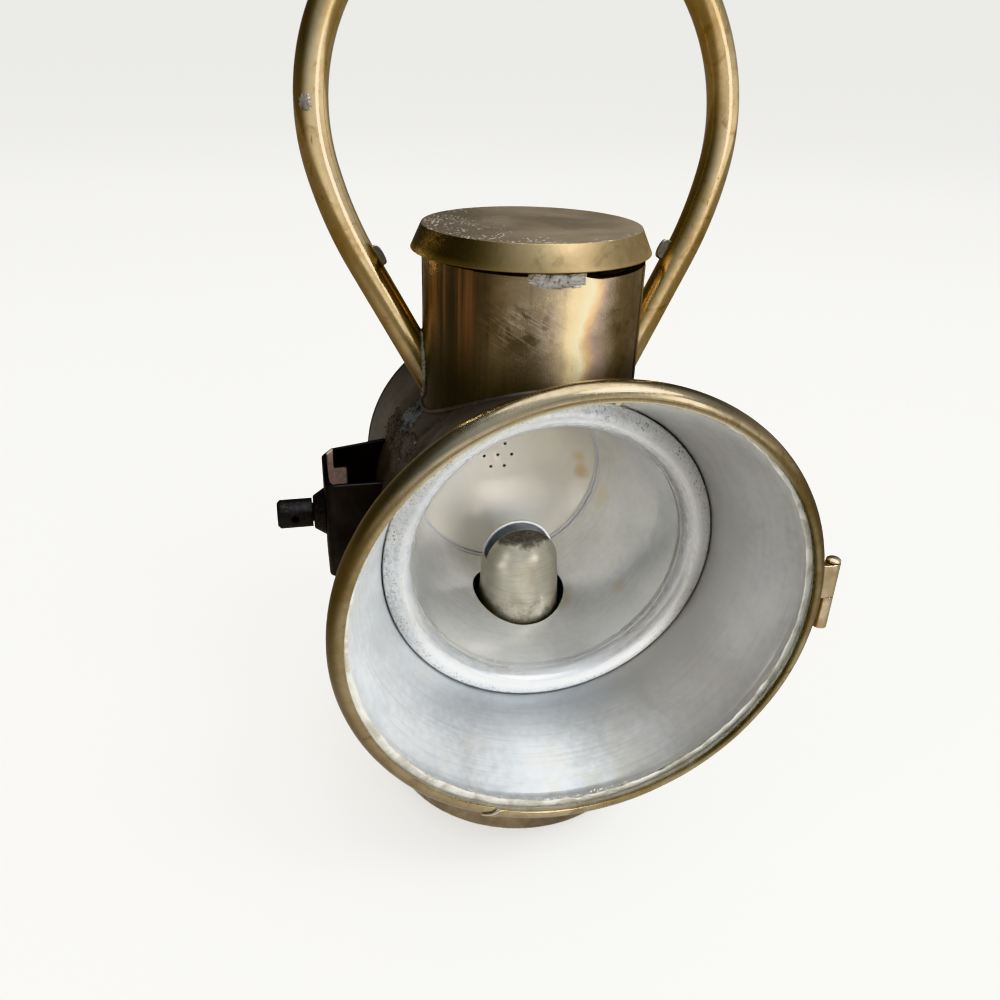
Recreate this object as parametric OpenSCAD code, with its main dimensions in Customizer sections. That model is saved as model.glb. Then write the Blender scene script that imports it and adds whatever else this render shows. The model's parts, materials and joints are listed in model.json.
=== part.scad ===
// Hand lantern with a flared headlight bell, a hinged glass door and an oil font.
// Millimetres. It stands on z = 0, the upright body is on the Z axis and the bell faces -Y.

/* [Body] */
// Outer radius of the upright body
body_r = 61.8; // [58:0.2:66]
// Thickness of the sheet brass
sheet_t = 1; // [0.8:0.1:1.4]
// Height of the lower edge of the body
skirt_z = 12; // [8:1:20]
// Outer radius of the neck
neck_r = 43.5; // [41:0.5:46]
// Height of the neck's top edge
neck_top_z = 247; // [240:1:256]

/* [Drum] */
// Height of the drum's lowest line
drum_z = 73; // [72:0.5:75]
// Distance that the drum stands out beyond the upright body at its back
drum_over = 0.4; // [0.2:0.1:2]
// Distance of the drum's back behind the upright body
drum_tail = 0.5; // [0.2:0.1:6]
// Growth of the drum's radius from its back to the bell
drum_taper = 1.8; // [0.8:0.1:3]
// Radius of the bead round the drum's back
bead_r = 1.6; // [1:0.1:2.4]
// Distance that the bead stands out of the drum
bead_out = 0.4; // [0.4:0.1:1]
// Radius of the burner's opening in the bottom of the drum
drum_hole_r = 30; // [24:1:34]

/* [Cap] */
// Distance of the cap's flat top inside the outside of the neck
cap_in = 1; // [0.2:0.1:3]
// Distance that the cap's lower edge stands out beyond the neck
cap_over = 3.3; // [2.6:0.1:6]
// Height of the cap's flared skirt
cap_h = 9.3; // [7:0.1:11]
// Rise of the cap's top above the neck
cap_rise = 9.5; // [9:0.5:14]
// Depth to which the cap's collar enters the neck
collar_depth = 14; // [8:1:20]
// Number of vent windows in the cap's collar
vent_n = 6; // [4:1:8]
// Width of each vent window
vent_w = 26; // [18:1:28]

/* [Bell] */
// Growth of the bell's radius from its throat to its mouth
mouth_flare = 18.6; // [16:0.2:22]
// Distance of the bell's mouth in front of the body axis
mouth_h = 92.6; // [88:0.2:98]
// Length of the straight lip at the mouth
mouth_lip = 3; // [2:0.5:5]
// Growth of the bell's radius from the drum to its throat
throat_flare = 4.8; // [3:0.2:7]
// Distance of the throat in front of the body axis
throat_h = 50; // [46:1:54]
// Distance of the joint with the drum in front of the body axis
rear_h = 1; // [0.5:0.5:6]

/* [Reflector] */
// Radius of the rolled ring round the bell's throat
roll_r = 6; // [4.5:0.5:7.5]
// Inner radius of the bowl where the rear dish begins
seam_r = 44.8; // [42:0.2:46]
// Distance of the rear dish behind the body axis
seam_h = 31; // [29:0.5:33]
// Depth of the rear dish
dish_depth = 19; // [14:0.5:22]
// Width of the flange round the rear dish
dish_flange = 3; // [2:0.5:4]
// Radius of the draught holes in the rear dish
draught_r = 0.8; // [0.5:0.1:1.5]
// Spacing of the draught holes
draught_pitch = 6.9; // [5:0.1:9]
// Radius of the smoke hole in the top of the bowl
smoke_r = 27; // [20:1:28]

/* [Door] */
// Distance that the rolled door rim stands out beyond the bell's mouth
rim_over = 3.4; // [3:0.1:4.4]
// Radius of the roll of the rim
bezel_roll = 5; // [4.6:0.1:5.4]
// Thickness of the rim's sheet
bezel_t = 1.2; // [0.8:0.1:1.5]
// Distance of the rim's roll in front of the bell's mouth
bezel_lead = 2.4; // [2.2:0.1:3]
// Distance of the opening's edge inside the bell's mouth
window_in = 2.4; // [1.8:0.1:3]
// Clearance between the rim and the bell's lip
door_gap = 0.9; // [0.8:0.1:1.2]
// Angle of the split in the rim, from the hinge
split_a = -112; // [-150:1:-60]
// Width of the split
split_w = 1.2; // [0.6:0.1:2]
// Thickness of the glass
glass_t = 3; // [2:0.2:3.4]
// Gap between the glass edge and the inside of the rim
glass_gap = 0.5; // [0.3:0.1:1]
// Width of the putty behind the glass
putty_w = 3.6; // [2:0.2:5]
// Depth of the putty behind the glass
putty_d = 1.8; // [1:0.1:2]
// Radius of the thumb nib on the rim
nib_r = 2.2; // [1.6:0.1:3]
// Angle of the thumb nib, from the hinge
nib_a = 88; // [60:1:120]

/* [Hinge] */
// Radius of the hinge knuckles
knuckle_r = 2.9; // [2.4:0.1:3.4]
// Length of each knuckle
knuckle_l = 14; // [10:0.5:20]
// Gap between the knuckles
knuckle_gap = 0.3; // [0.2:0.1:0.6]
// Radius of the hinge pin
pin_r = 1.3; // [1:0.1:1.6]
// Distance of the pin's centre outside the rim
pin_out = 4.7; // [4:0.1:6]
// Thickness of the hinge leaves
leaf_t = 1.4; // [1:0.1:1.8]
// Gap between the rim's back edge and the leaf on the bell
leaf_gap = 0.4; // [0.3:0.05:0.6]
// Length of the strap on the bell
strap_l = 12; // [8:1:18]
// Height of the pin's head
pin_head_h = 1.8; // [1:0.1:3]

/* [Handle] */
// Radius of the handle's brass tube
tube_r = 6.35; // [5:0.05:7.5]
// Wall of the tube
tube_t = 1.2; // [0.8:0.1:2]
// Bend radius of the arch over the top
arch_r = 81; // [76:1:88]
// Height of the arch's centre above the foot line
arch_up = 116.4; // [105:0.2:130]
// Height of the foot line
foot_z = 180; // [176:1:184]
// Lean of the handle to the rear, in degrees
lean = 9.5; // [6:0.5:12]
// Bend radius of the legs
leg_r = 150; // [140:1:170]
// Angle below level at which the legs begin
leg_a0 = 14.5; // [13:0.5:16]
// Angle from upright of the straight part of each leg
leg_a1 = 28.5; // [27:0.5:30]
// Length of the straight part of each leg
leg_l = 63; // [61:1:66]
// Distance of each lug below the top of the straight part
lug_down = 0.5; // [0:0.5:8]
// Length of each lug along its leg
lug_l = 8; // [4:0.5:12]
// Distance that each lug stands out of its leg
lug_out = 4.4; // [2:0.2:5]
// Thickness of each lug
lug_t = 3; // [2:0.2:5]

/* [Bracket socket] */
// Distance that the socket stands out from the drum
socket_out = 23.8; // [21:0.2:30]
// Offset of the socket behind the body axis
socket_y = 5; // [2:0.5:10]
// Outer width of the socket, front to back
socket_w = 30; // [26:1:36]
// Height of the socket
socket_h = 49; // [40:1:56]
// Thickness of the socket's strip
socket_t = 2; // [1.5:0.1:3]
// Outer corner radius of the socket
socket_corner = 5; // [4:0.5:8]
// Radius of the screw's boss at the socket
boss_r1 = 10.2; // [9:0.2:12]
// Radius of the boss at its outer end
boss_r2 = 7; // [6:0.2:9]
// Length of the boss
boss_l = 5; // [4:0.5:8]
// Radius of the clamp screw
screw_r = 4; // [3:0.1:5]
// Radius of the screw's round head
head_r = 6.2; // [5.5:0.1:8]
// Length of the head
head_l = 14.8; // [10:0.2:20]
// Chamfer at the end of the head
head_chamfer = 1.2; // [0.6:0.1:2]
// Radius of the tommy hole across the head
tommy_r = 1.6; // [1:0.1:2.5]
// Radius of the clamp pad
pad_r = 7; // [6:0.2:9]
// Thickness of the clamp pad
pad_t = 5; // [4:0.2:6]
// Distance that the clamp screw backs out
clamp_travel = 6.5; // [4:0.5:7]

/* [Font and burner] */
// Height of the font
font_h = 58; // [52:1:59]
// Width of the seat that rests on the font
seat_w = 6; // [4:0.5:8]
// Outer radius of the burner collar
collar_r = 15; // [14:0.2:17]
// Inner radius of the burner collar
collar_in_r = 12; // [11.6:0.1:13]
// Height of the burner collar
collar_h = 5; // [4:0.5:6]
// Outer radius of the burner gallery
gallery_r = 18.5; // [18:0.1:19]
// Wall of the gallery
gallery_t = 1.2; // [1:0.1:1.6]
// Floor thickness of the gallery
gallery_floor = 1.5; // [1:0.1:2]
// Height of the gallery up to its flange
gallery_h = 11.5; // [11.5:0.1:13]
// Thickness of the gallery's flange
flange_t = 1; // [0.8:0.1:1.4]
// Number of air holes in the gallery
air_n = 16; // [8:2:20]
// Radius of the air holes
air_r = 1; // [0.6:0.1:1.2]
// Radius of the burner dome at its foot
dome_foot_r = 19.5; // [19.3:0.1:20.5]
// Radius of the rounded top of the dome
dome_r = 17.2; // [16:0.1:18]
// Height of the dome's sides
dome_side = 31.5; // [28:0.5:34]
// Thickness of the dome
dome_t = 0.9; // [0.7:0.1:1.2]
// Width of the flame slot in the dome
slot_w = 8; // [6.5:0.5:10]
// Distance of the flame slot's floor above the dome's sides
slot_up = 2; // [1:0.5:6]
// Gap between the dome's foot and the bowl
dome_gap = 1.7; // [1:0.1:2.5]
// Width of the wick
wick_w = 20; // [16:0.5:20]
// Thickness of the wick
wick_t = 3; // [2:0.2:3.2]
// Gap round the wick in its tube
wick_gap = 0.4; // [0.3:0.1:0.5]
// Wall of the wick tube
wick_tube_t = 0.8; // [0.6:0.1:1]
// Height of the wick tube above the gallery's floor
wick_tube_h = 48; // [44:1:50]
// Length of wick showing above its tube
wick_show = 4; // [2:0.5:6]
// Height of the wick's lower end above the base
wick_foot = 14; // [12:1:20]
// Radius of the wick's spur wheels
spur_r = 5; // [4:0.1:5.2]
// Number of teeth on each spur wheel
spur_n = 12; // [8:1:16]
// Thickness of the spur wheels
spur_t = 2.4; // [1.6:0.2:3]
// Spacing of the two spur wheels
spur_gap = 10; // [7:0.5:12]
// Radius of the wick shaft
shaft_r = 1.5; // [1.2:0.1:1.8]
// Radius of the wick knob
knob_r = 9; // [7:0.5:11]
// Thickness of the wick knob
knob_t = 6; // [4:0.5:8]
// Gap between the knob and the body
knob_out = 3.5; // [2:0.5:6]
// Number of grooves round the knob
knob_n = 20; // [12:1:28]

/* [Fits] */
// Film of solder between fixed pieces
film = 0.05; // [0.02:0.01:0.08]
// Clearance between pieces that slide apart
slip = 0.3; // [0.2:0.05:0.5]
// Radial clearance of the running fits
run = 0.05; // [0.02:0.01:0.08]

/* [Hidden] */
$fn = 96;
far = 400;
brass = "#8f7138";
bronze = "#4a3826";
tin = "#b9bcba";
can_in = body_r - sheet_t;
neck_in = neck_r - sheet_t;
cap_top_z = neck_top_z + cap_rise;
cap_under = cap_top_z - sheet_t;
cap_top_r = neck_r - cap_in;
cap_edge_r = neck_r + cap_over;
drum_r = body_r + drum_over;
drum_l = body_r + drum_tail;
rear_r = drum_r + drum_taper;
axis_z = drum_z + rear_r;
throat_r = rear_r + throat_flare;
mouth_r = throat_r + mouth_flare;
drum_out = [[drum_r, -drum_l], [rear_r, rear_h]];
bell_out = [
    [rear_r, rear_h], [throat_r, throat_h], [mouth_r, mouth_h - mouth_lip], [mouth_r, mouth_h]
];
roll_c = throat_r - sheet_t - slip - roll_r;
bowl_lip_r = roll_c - roll_r;
dish_r = (seam_r * seam_r + dish_depth * dish_depth) / (2 * dish_depth);
dish_c = dish_r - dish_depth - seam_h;
bezel_r = mouth_r + rim_over;
window_r = mouth_r - window_in;
bezel_c = bezel_r - bezel_roll;
bezel_h = mouth_h + bezel_lead;
bezel_in = bezel_roll - bezel_t;
bezel_back_r = mouth_r + door_gap;
bezel_back_h = bezel_h - sqrt(pow(bezel_roll, 2) - pow(bezel_back_r - bezel_c, 2));
glass_front = bezel_h + bezel_in - slip;
glass_back = glass_front - glass_t;
glass_r = bezel_c + sqrt(pow(bezel_in, 2) - pow(glass_front - bezel_h, 2)) - glass_gap;
pin_x = bezel_r + pin_out;
pin_y = -mouth_h;
font_r = can_in - slip;
font_top_z = font_h + sheet_t;
collar_top = font_top_z + collar_h;
gallery_z = collar_top;
gallery_in = gallery_r - gallery_t;
flange_z = gallery_z + gallery_h;
dome_z = flange_z + flange_t;
dome_c = dome_z + dome_side;
shaft_y = wick_t / 2 + spur_r + slip;
shaft_z = gallery_z + gallery_floor + spur_r + 0.5;
wick_top = gallery_z + gallery_floor + wick_tube_h + wick_show;
knob_x = body_r + knob_out;
socket_x = drum_r + socket_out;
head_x = socket_x + boss_l + slip;
pad_x = socket_x - socket_t - clamp_travel - slip;
pad_bore = pad_t - 2;
leg_cx = (arch_r - leg_r) * cos(leg_a0);
leg_cz = arch_up - (arch_r - leg_r) * sin(leg_a0);

// Puts a shape turned about Z onto the light axis, its upward direction facing the front.
module on_light_axis() {
    translate([0, 0, axis_z])
        rotate([90, 0, 0])
            children();
}

// Solid neck from the light axis up, larger all round by the given gap.
module neck_solid(gap) {
    translate([0, 0, axis_z])
        cylinder(r = neck_r + gap, h = neck_top_z - axis_z);
}

// Solid upright body, larger all round by the given gap.
module body_solid(gap) {
    cylinder(r = body_r + gap, h = axis_z);
}

// Solid with the outer outline of the drum and the bell, larger by the given amount.
module shell_solid(grow) {
    on_light_axis()
        rotate_extrude()
            polygon(concat(
                [[0, -drum_l]],
                [for (p = concat([drum_out[0]], bell_out)) [p[0] + grow, p[1]]],
                [[0, mouth_h]]
            ));
}

// Sheet of the drum or the bell, along the given outer outline, with the flue and burner openings.
module shell_sheet(outline) {
    difference() {
        on_light_axis()
            rotate_extrude()
                polygon(concat(
                    outline,
                    [for (i = [len(outline) - 1 : -1 : 0]) outline[i] - [sheet_t, 0]]
                ));
        translate([0, 0, axis_z])
            cylinder(r = neck_in, h = far);
        cylinder(r = drum_hole_r, h = axis_z);
    }
}

module font_can() {
    color(brass)
        difference() {
            cylinder(r = font_r, h = font_h);
            translate([0, 0, sheet_t])
                cylinder(r = font_r - sheet_t, h = font_h);
        }
}

module font_top() {
    color(brass)
        translate([0, 0, font_h])
            difference() {
                cylinder(r = font_r, h = sheet_t);
                translate([0, 0, -1])
                    cylinder(r = collar_in_r, h = sheet_t + 2);
            }
}

module burner_collar() {
    color(brass)
        translate([0, 0, font_top_z])
            difference() {
                cylinder(r = collar_r, h = collar_h);
                translate([0, 0, -1])
                    cylinder(r = collar_in_r, h = collar_h + 2);
            }
}

// Cross-section of the wick tube, larger all round by the given amount.
module wick_section(grow) {
    square([wick_w + 2 * grow, wick_t + 2 * grow], center = true);
}

module burner_gallery() {
    color(brass)
        difference() {
            union() {
                translate([0, 0, gallery_z])
                    cylinder(r = gallery_r, h = gallery_h);
                translate([0, 0, flange_z])
                    cylinder(r = dome_foot_r, h = flange_t);
            }
            translate([0, 0, gallery_z + gallery_floor])
                cylinder(r = gallery_in, h = far);
            translate([0, 0, gallery_z - 1])
                linear_extrude(gallery_floor + 2)
                    wick_section(wick_gap + wick_tube_t + film);
            translate([-far / 2, shaft_y, shaft_z])
                rotate([0, 90, 0])
                    cylinder(r = shaft_r + run, h = far);
            for (i = [0 : air_n - 1])
                rotate([0, 0, (i + 0.5) * 360 / air_n])
                    translate([0, 0, flange_z - air_r - 0.8])
                        rotate([0, 90, 0])
                            cylinder(r = air_r, h = far);
        }
}

// Half section of the burner dome, drawn in by the given amount.
module dome_section(inset) {
    polygon([
        [0, dome_z], [dome_foot_r - inset, dome_z], [dome_r - inset, dome_c], [0, dome_c]
    ]);
    translate([0, dome_c])
        intersection() {
            circle(dome_r - inset);
            square(dome_r);
        }
}

module burner_dome() {
    color("#8c8a78")
        difference() {
            rotate_extrude()
                difference() {
                    dome_section(0);
                    dome_section(dome_t);
                }
            translate([-far / 2, -slot_w / 2, dome_c + slot_up])
                cube([far, slot_w, far]);
        }
}

module wick_tube() {
    color(brass)
        difference() {
            translate([0, 0, font_top_z + 2])
                linear_extrude(collar_top + gallery_floor + wick_tube_h - font_top_z - 2)
                    wick_section(wick_gap + wick_tube_t);
            translate([0, 0, font_h])
                linear_extrude(far)
                    wick_section(wick_gap);
            for (side = [-1, 1])
                translate([side * spur_gap / 2 - spur_t / 2 - slip, 0, shaft_z - spur_r])
                    cube([spur_t + 2 * slip, far, 2 * spur_r]);
        }
}

module wick() {
    color("#d8cfb8")
        translate([0, 0, wick_foot])
            linear_extrude(wick_top - wick_foot)
                wick_section(0);
}

// Spur wheel with pointed teeth.
module spur() {
    linear_extrude(spur_t, center = true)
        polygon([
            for (i = [0 : 2 * spur_n - 1])
                let (r = i % 2 == 0 ? spur_r : spur_r * 0.8)
                    r * [cos(i * 180 / spur_n), sin(i * 180 / spur_n)]
        ]);
}

module wick_shaft() {
    color(brass)
        translate([0, shaft_y, shaft_z])
            rotate([0, 90, 0]) {
                translate([0, 0, -gallery_r])
                    cylinder(r = shaft_r, h = gallery_r + knob_x + knob_t);
                for (side = [-1, 1])
                    translate([0, 0, side * spur_gap / 2])
                        spur();
            }
}

module wick_knob() {
    color(brass)
        translate([knob_x, shaft_y, shaft_z])
            rotate([0, 90, 0])
                difference() {
                    cylinder(r = knob_r, h = knob_t);
                    translate([0, 0, -1])
                        cylinder(r = shaft_r + film, h = knob_t + 2);
                    for (i = [0 : knob_n - 1])
                        rotate([0, 0, i * 360 / knob_n])
                            translate([knob_r + 0.4, 0, -1])
                                cylinder(r = 1, h = knob_t + 2);
                }
}

module body_can() {
    color(bronze)
        difference() {
            translate([0, 0, skirt_z])
                cylinder(r = body_r, h = axis_z - skirt_z);
            translate([0, 0, skirt_z - 1])
                cylinder(r = can_in, h = far);
            shell_solid(film);
            translate([0, shaft_y - 2 * shaft_r - 1, 0])
                cube([far, 4 * shaft_r + 2, shaft_z + 2 * shaft_r + 1]);
        }
}

module font_seat() {
    color(brass)
        translate([0, 0, font_top_z])
            difference() {
                cylinder(r = can_in - film, h = sheet_t);
                translate([0, 0, -1])
                    cylinder(r = can_in - seat_w, h = sheet_t + 2);
                translate([0, shaft_y - 2 * shaft_r - 1, -1])
                    cube([far, 4 * shaft_r + 2, sheet_t + 2]);
            }
}

module drum() {
    color(bronze)
        shell_sheet(drum_out);
}

module drum_back() {
    color(bronze)
        on_light_axis()
            translate([0, 0, -drum_l]) {
                translate([0, 0, -sheet_t])
                    cylinder(r = drum_r - bead_r, h = sheet_t);
                rotate_extrude()
                    translate([drum_r + bead_out - bead_r, -bead_r])
                        circle(bead_r);
            }
}

module neck() {
    color("#5d4428")
        difference() {
            neck_solid(0);
            translate([0, 0, axis_z - 1])
                cylinder(r = neck_in, h = far);
            shell_solid(film);
        }
}

// Sheet of the cap, thicker on its inner side by the given gap.
module cap_sheet(gap) {
    rotate_extrude()
        polygon([
            [0, cap_under - gap], [0, cap_top_z], [cap_top_r, cap_top_z],
            [cap_edge_r, cap_top_z - cap_h], [cap_edge_r - sheet_t - gap, cap_top_z - cap_h],
            [cap_top_r - sheet_t / 2 - gap, cap_under - gap]
        ]);
}

module cap() {
    color("#5a4a30")
        cap_sheet(0);
}

module cap_collar() {
    color(brass)
        difference() {
            union() {
                translate([0, 0, neck_top_z - collar_depth])
                    cylinder(r = neck_in - slip, h = cap_under - neck_top_z + collar_depth);
                translate([0, 0, neck_top_z])
                    cylinder(r = neck_r + sheet_t, h = sheet_t);
            }
            translate([0, 0, neck_top_z - collar_depth - 1])
                cylinder(r = neck_in - slip - sheet_t, h = far);
            for (i = [0 : vent_n - 1])
                rotate([0, 0, (i + 0.5) * 360 / vent_n])
                    translate([0, -vent_w / 2, neck_top_z])
                        cube([far, vent_w, cap_under - neck_top_z - sheet_t]);
            cap_sheet(film);
        }
}

module bell() {
    color(bronze)
        shell_sheet(bell_out);
}

module throat_ring() {
    color(tin)
        on_light_axis()
            rotate_extrude()
                translate([roll_c, throat_h])
                    difference() {
                        circle(roll_r);
                        circle(roll_r - sheet_t);
                        translate([-far / 2, -far])
                            square(far);
                    }
}

module reflector_bowl() {
    color(tin)
        difference() {
            on_light_axis()
                rotate_extrude()
                    polygon([
                        [bowl_lip_r, throat_h], [bowl_lip_r + sheet_t, throat_h],
                        [seam_r + sheet_t, -seam_h], [seam_r, -seam_h]
                    ]);
            translate([0, 0, axis_z - far])
                cylinder(r = dome_foot_r + dome_gap, h = far);
            translate([0, 0, axis_z])
                cylinder(r = smoke_r, h = far);
        }
}

module rear_dish() {
    color(tin)
        on_light_axis()
            difference() {
                rotate_extrude()
                    union() {
                        intersection() {
                            translate([0, dish_c])
                                difference() {
                                    circle(dish_r + sheet_t);
                                    circle(dish_r);
                                }
                            translate([0, -seam_h - far])
                                square(far);
                        }
                        translate([seam_r, -seam_h - sheet_t])
                            square([dish_flange, sheet_t]);
                    }
                translate([0, 0, -far])
                    cylinder(r = draught_r, h = far);
                for (i = [0 : 5])
                    rotate([0, 0, i * 60])
                        translate([draught_pitch, 0, -far])
                            cylinder(r = draught_r, h = far);
            }
}

module door_bezel() {
    color(brass)
        on_light_axis()
            difference() {
                rotate_extrude()
                    difference() {
                        translate([bezel_c, bezel_h])
                            circle(bezel_roll);
                        translate([bezel_c, bezel_h])
                            circle(bezel_in);
                        square([window_r, far]);
                        square([bezel_back_r, bezel_h]);
                    }
                rotate([0, 0, split_a])
                    translate([0, -split_w / 2, 0])
                        cube([far, split_w, far]);
            }
}

module door_glass() {
    color("#dfe8e6", 0.3)
        on_light_axis()
            translate([0, 0, glass_back])
                cylinder(r = glass_r, h = glass_t);
}

module door_putty() {
    color("#d9d6cc")
        on_light_axis()
            rotate_extrude()
                polygon([
                    [glass_r - putty_w, glass_back], [glass_r, glass_back],
                    [glass_r, glass_back - putty_d]
                ]);
}

// Solid ring with the rim's outer outline, larger by the given gap.
module bezel_solid(gap) {
    on_light_axis()
        rotate_extrude()
            translate([bezel_c, bezel_h])
                circle(bezel_roll + gap);
}

module door_nib() {
    color(brass)
        difference() {
            on_light_axis()
                rotate([0, 0, nib_a])
                    translate([window_r, 0, bezel_h + bezel_roll])
                        sphere(nib_r);
            bezel_solid(film);
            on_light_axis()
                cylinder(r = glass_r, h = glass_front + slip);
        }
}

// Hinge barrel of one knuckle, from the given height.
module barrel(z) {
    translate([pin_x, pin_y, z])
        cylinder(r = knuckle_r, h = knuckle_l);
}

module pin_bore(r) {
    translate([pin_x, pin_y, 0])
        cylinder(r = r, h = far);
}

module door_knuckle() {
    z0 = axis_z + knuckle_gap / 2;
    color(brass)
        difference() {
            union() {
                barrel(z0);
                translate([bezel_c, pin_y - knuckle_r, z0])
                    cube([pin_x - bezel_c, leaf_t, knuckle_l]);
            }
            pin_bore(pin_r + run);
            bezel_solid(film);
        }
}

module bell_knuckle() {
    z0 = axis_z - knuckle_gap / 2 - knuckle_l;
    y0 = leaf_gap - bezel_back_h;
    color(brass)
        difference() {
            union() {
                barrel(z0);
                translate([throat_r, y0, z0])
                    cube([pin_x - throat_r, leaf_t, knuckle_l]);
                intersection() {
                    shell_solid(film + leaf_t);
                    translate([0, y0, z0])
                        cube([far, strap_l, knuckle_l]);
                }
            }
            pin_bore(pin_r + film);
            shell_solid(film);
        }
}

module hinge_pin() {
    color("#6b5330")
        translate([pin_x, pin_y, axis_z - knuckle_gap / 2 - knuckle_l]) {
            cylinder(r = pin_r, h = 2 * knuckle_l + 2 * knuckle_gap);
            translate([0, 0, 2 * knuckle_l + 2 * knuckle_gap])
                cylinder(r = knuckle_r, h = pin_head_h);
        }
}

// Section of the handle, with a bore unless it is zero.
module bar_section(r, bore) {
    difference() {
        circle(r);
        circle(bore);
    }
}

// Thin band that closes the joint between two lengths of the bar, about the current origin.
module bar_joint(r, bore) {
    linear_extrude(1, center = true)
        bar_section(r + film, max(bore - film, 0));
}

// Bent bar on the handle's centre line, with the given radius and bore.
module handle_bar(r, bore) {
    translate([0, 0, foot_z])
        rotate([-lean, 0, 0]) {
            translate([0, 0, arch_up])
                rotate([90, 0, 0])
                    rotate([0, 0, -leg_a0])
                        rotate_extrude(angle = 180 + 2 * leg_a0)
                            translate([arch_r, 0])
                                bar_section(r, bore);
            for (side = [0, 1])
                mirror([side, 0, 0])
                    translate([leg_cx, 0, leg_cz]) {
                        rotate([90, 0, 0])
                            rotate([0, 0, -leg_a1])
                                rotate_extrude(angle = leg_a1 - leg_a0)
                                    translate([leg_r, 0])
                                        bar_section(r, bore);
                        rotate([0, leg_a1, 0])
                            translate([leg_r, 0, -leg_l])
                                linear_extrude(leg_l)
                                    bar_section(r, bore);
                        for (a = [leg_a0, leg_a1])
                            rotate([0, a, 0])
                                translate([leg_r, 0, 0])
                                    bar_joint(r, bore);
                    }
        }
}

module handle() {
    color(brass)
        difference() {
            handle_bar(tube_r, tube_r - tube_t);
            neck_solid(film);
            shell_solid(film);
        }
}

module handle_lugs() {
    color(brass)
        difference() {
            translate([0, 0, foot_z])
                rotate([-lean, 0, 0])
                    for (side = [0, 1])
                        mirror([side, 0, 0])
                            translate([leg_cx, 0, leg_cz])
                                rotate([0, leg_a1, 0])
                                    translate([leg_r - tube_r - lug_out, -lug_t / 2, -lug_down - lug_l / 2])
                                        cube([lug_out + tube_r / 2, lug_t, lug_l]);
            handle_bar(tube_r + film, 0);
        }
}

// Plan of the socket's outer or inner outline, drawn in by the given amount.
module socket_plan(inset) {
    reach = socket_x - inset;
    half = socket_w / 2 - inset;
    r = socket_corner - inset;
    translate([-reach + r, socket_y - half])
        square([reach - r, 2 * half]);
    translate([-reach, socket_y - half + r])
        square([r, 2 * half - 2 * r]);
    for (side = [-1, 1])
        translate([-reach + r, socket_y + side * (half - r)])
            circle(r);
}

module bracket_socket() {
    color(bronze)
        difference() {
            translate([0, 0, axis_z - socket_h / 2])
                linear_extrude(socket_h)
                    difference() {
                        socket_plan(0);
                        socket_plan(socket_t);
                    }
            body_solid(film);
            shell_solid(film);
            translate([-socket_x - 1, socket_y, axis_z])
                rotate([0, 90, 0])
                    cylinder(r = screw_r + run, h = socket_t + 2);
        }
}

module clamp_boss() {
    color(bronze)
        translate([-socket_x, socket_y, axis_z])
            rotate([0, -90, 0])
                difference() {
                    cylinder(r1 = boss_r1, r2 = boss_r2, h = boss_l);
                    translate([0, 0, -1])
                        cylinder(r = screw_r + run, h = boss_l + 2);
                }
}

module clamp_screw() {
    color("#2c2622")
        translate([-head_x, socket_y, axis_z])
            difference() {
                union() {
                    rotate([0, 90, 0])
                        cylinder(r = screw_r, h = head_x - pad_x + pad_bore - slip);
                    rotate([0, -90, 0])
                        cylinder(r = head_r, h = head_l - head_chamfer);
                    translate([head_chamfer - head_l, 0, 0])
                        rotate([0, -90, 0])
                            cylinder(r1 = head_r, r2 = head_r - head_chamfer, h = head_chamfer);
                }
                translate([-head_l / 2, 0, 0])
                    rotate([90, 0, 0])
                        cylinder(r = tommy_r, h = far, center = true);
            }
}

module clamp_pad() {
    color("#2c2622")
        translate([-pad_x, socket_y, axis_z])
            rotate([0, 90, 0])
                difference() {
                    cylinder(r = pad_r, h = pad_t);
                    translate([0, 0, -1])
                        cylinder(r = screw_r + run, h = pad_bore + 1);
                }
}

font_can();
font_top();
burner_collar();
burner_gallery();
burner_dome();
wick_tube();
wick();
wick_shaft();
wick_knob();
body_can();
font_seat();
drum();
drum_back();
neck();
cap();
cap_collar();
bell();
throat_ring();
reflector_bowl();
rear_dish();
door_bezel();
door_glass();
door_putty();
door_nib();
door_knuckle();
bell_knuckle();
hinge_pin();
handle();
handle_lugs();
bracket_socket();
clamp_boss();
clamp_screw();
clamp_pad();
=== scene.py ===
import bpy
import bmesh
import json
from math import acos, ceil, cos, degrees, exp, hypot, pi, radians, sin, sqrt, tan
from mathutils import Matrix, Vector, noise


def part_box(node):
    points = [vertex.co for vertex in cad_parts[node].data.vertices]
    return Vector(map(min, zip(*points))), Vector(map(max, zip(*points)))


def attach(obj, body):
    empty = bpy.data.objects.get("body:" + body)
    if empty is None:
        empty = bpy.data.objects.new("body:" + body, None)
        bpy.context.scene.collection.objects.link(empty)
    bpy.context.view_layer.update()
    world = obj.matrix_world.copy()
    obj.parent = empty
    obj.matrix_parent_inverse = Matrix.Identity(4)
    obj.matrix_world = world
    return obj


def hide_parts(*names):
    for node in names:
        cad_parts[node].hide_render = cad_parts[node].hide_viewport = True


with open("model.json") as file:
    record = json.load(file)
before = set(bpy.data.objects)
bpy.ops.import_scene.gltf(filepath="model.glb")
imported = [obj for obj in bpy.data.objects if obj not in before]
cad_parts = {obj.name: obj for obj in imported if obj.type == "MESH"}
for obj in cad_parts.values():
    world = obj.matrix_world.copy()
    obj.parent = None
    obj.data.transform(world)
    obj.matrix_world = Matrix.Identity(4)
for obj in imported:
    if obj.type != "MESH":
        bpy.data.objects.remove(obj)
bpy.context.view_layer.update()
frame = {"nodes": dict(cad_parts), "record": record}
nodes = frame["nodes"]
mm = 0.001
glassLow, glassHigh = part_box("door_glass")
axisZ = (glassLow.z + glassHigh.z) / 2  # height of the light axis
print("frame loaded,", len(nodes), "nodes")


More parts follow.
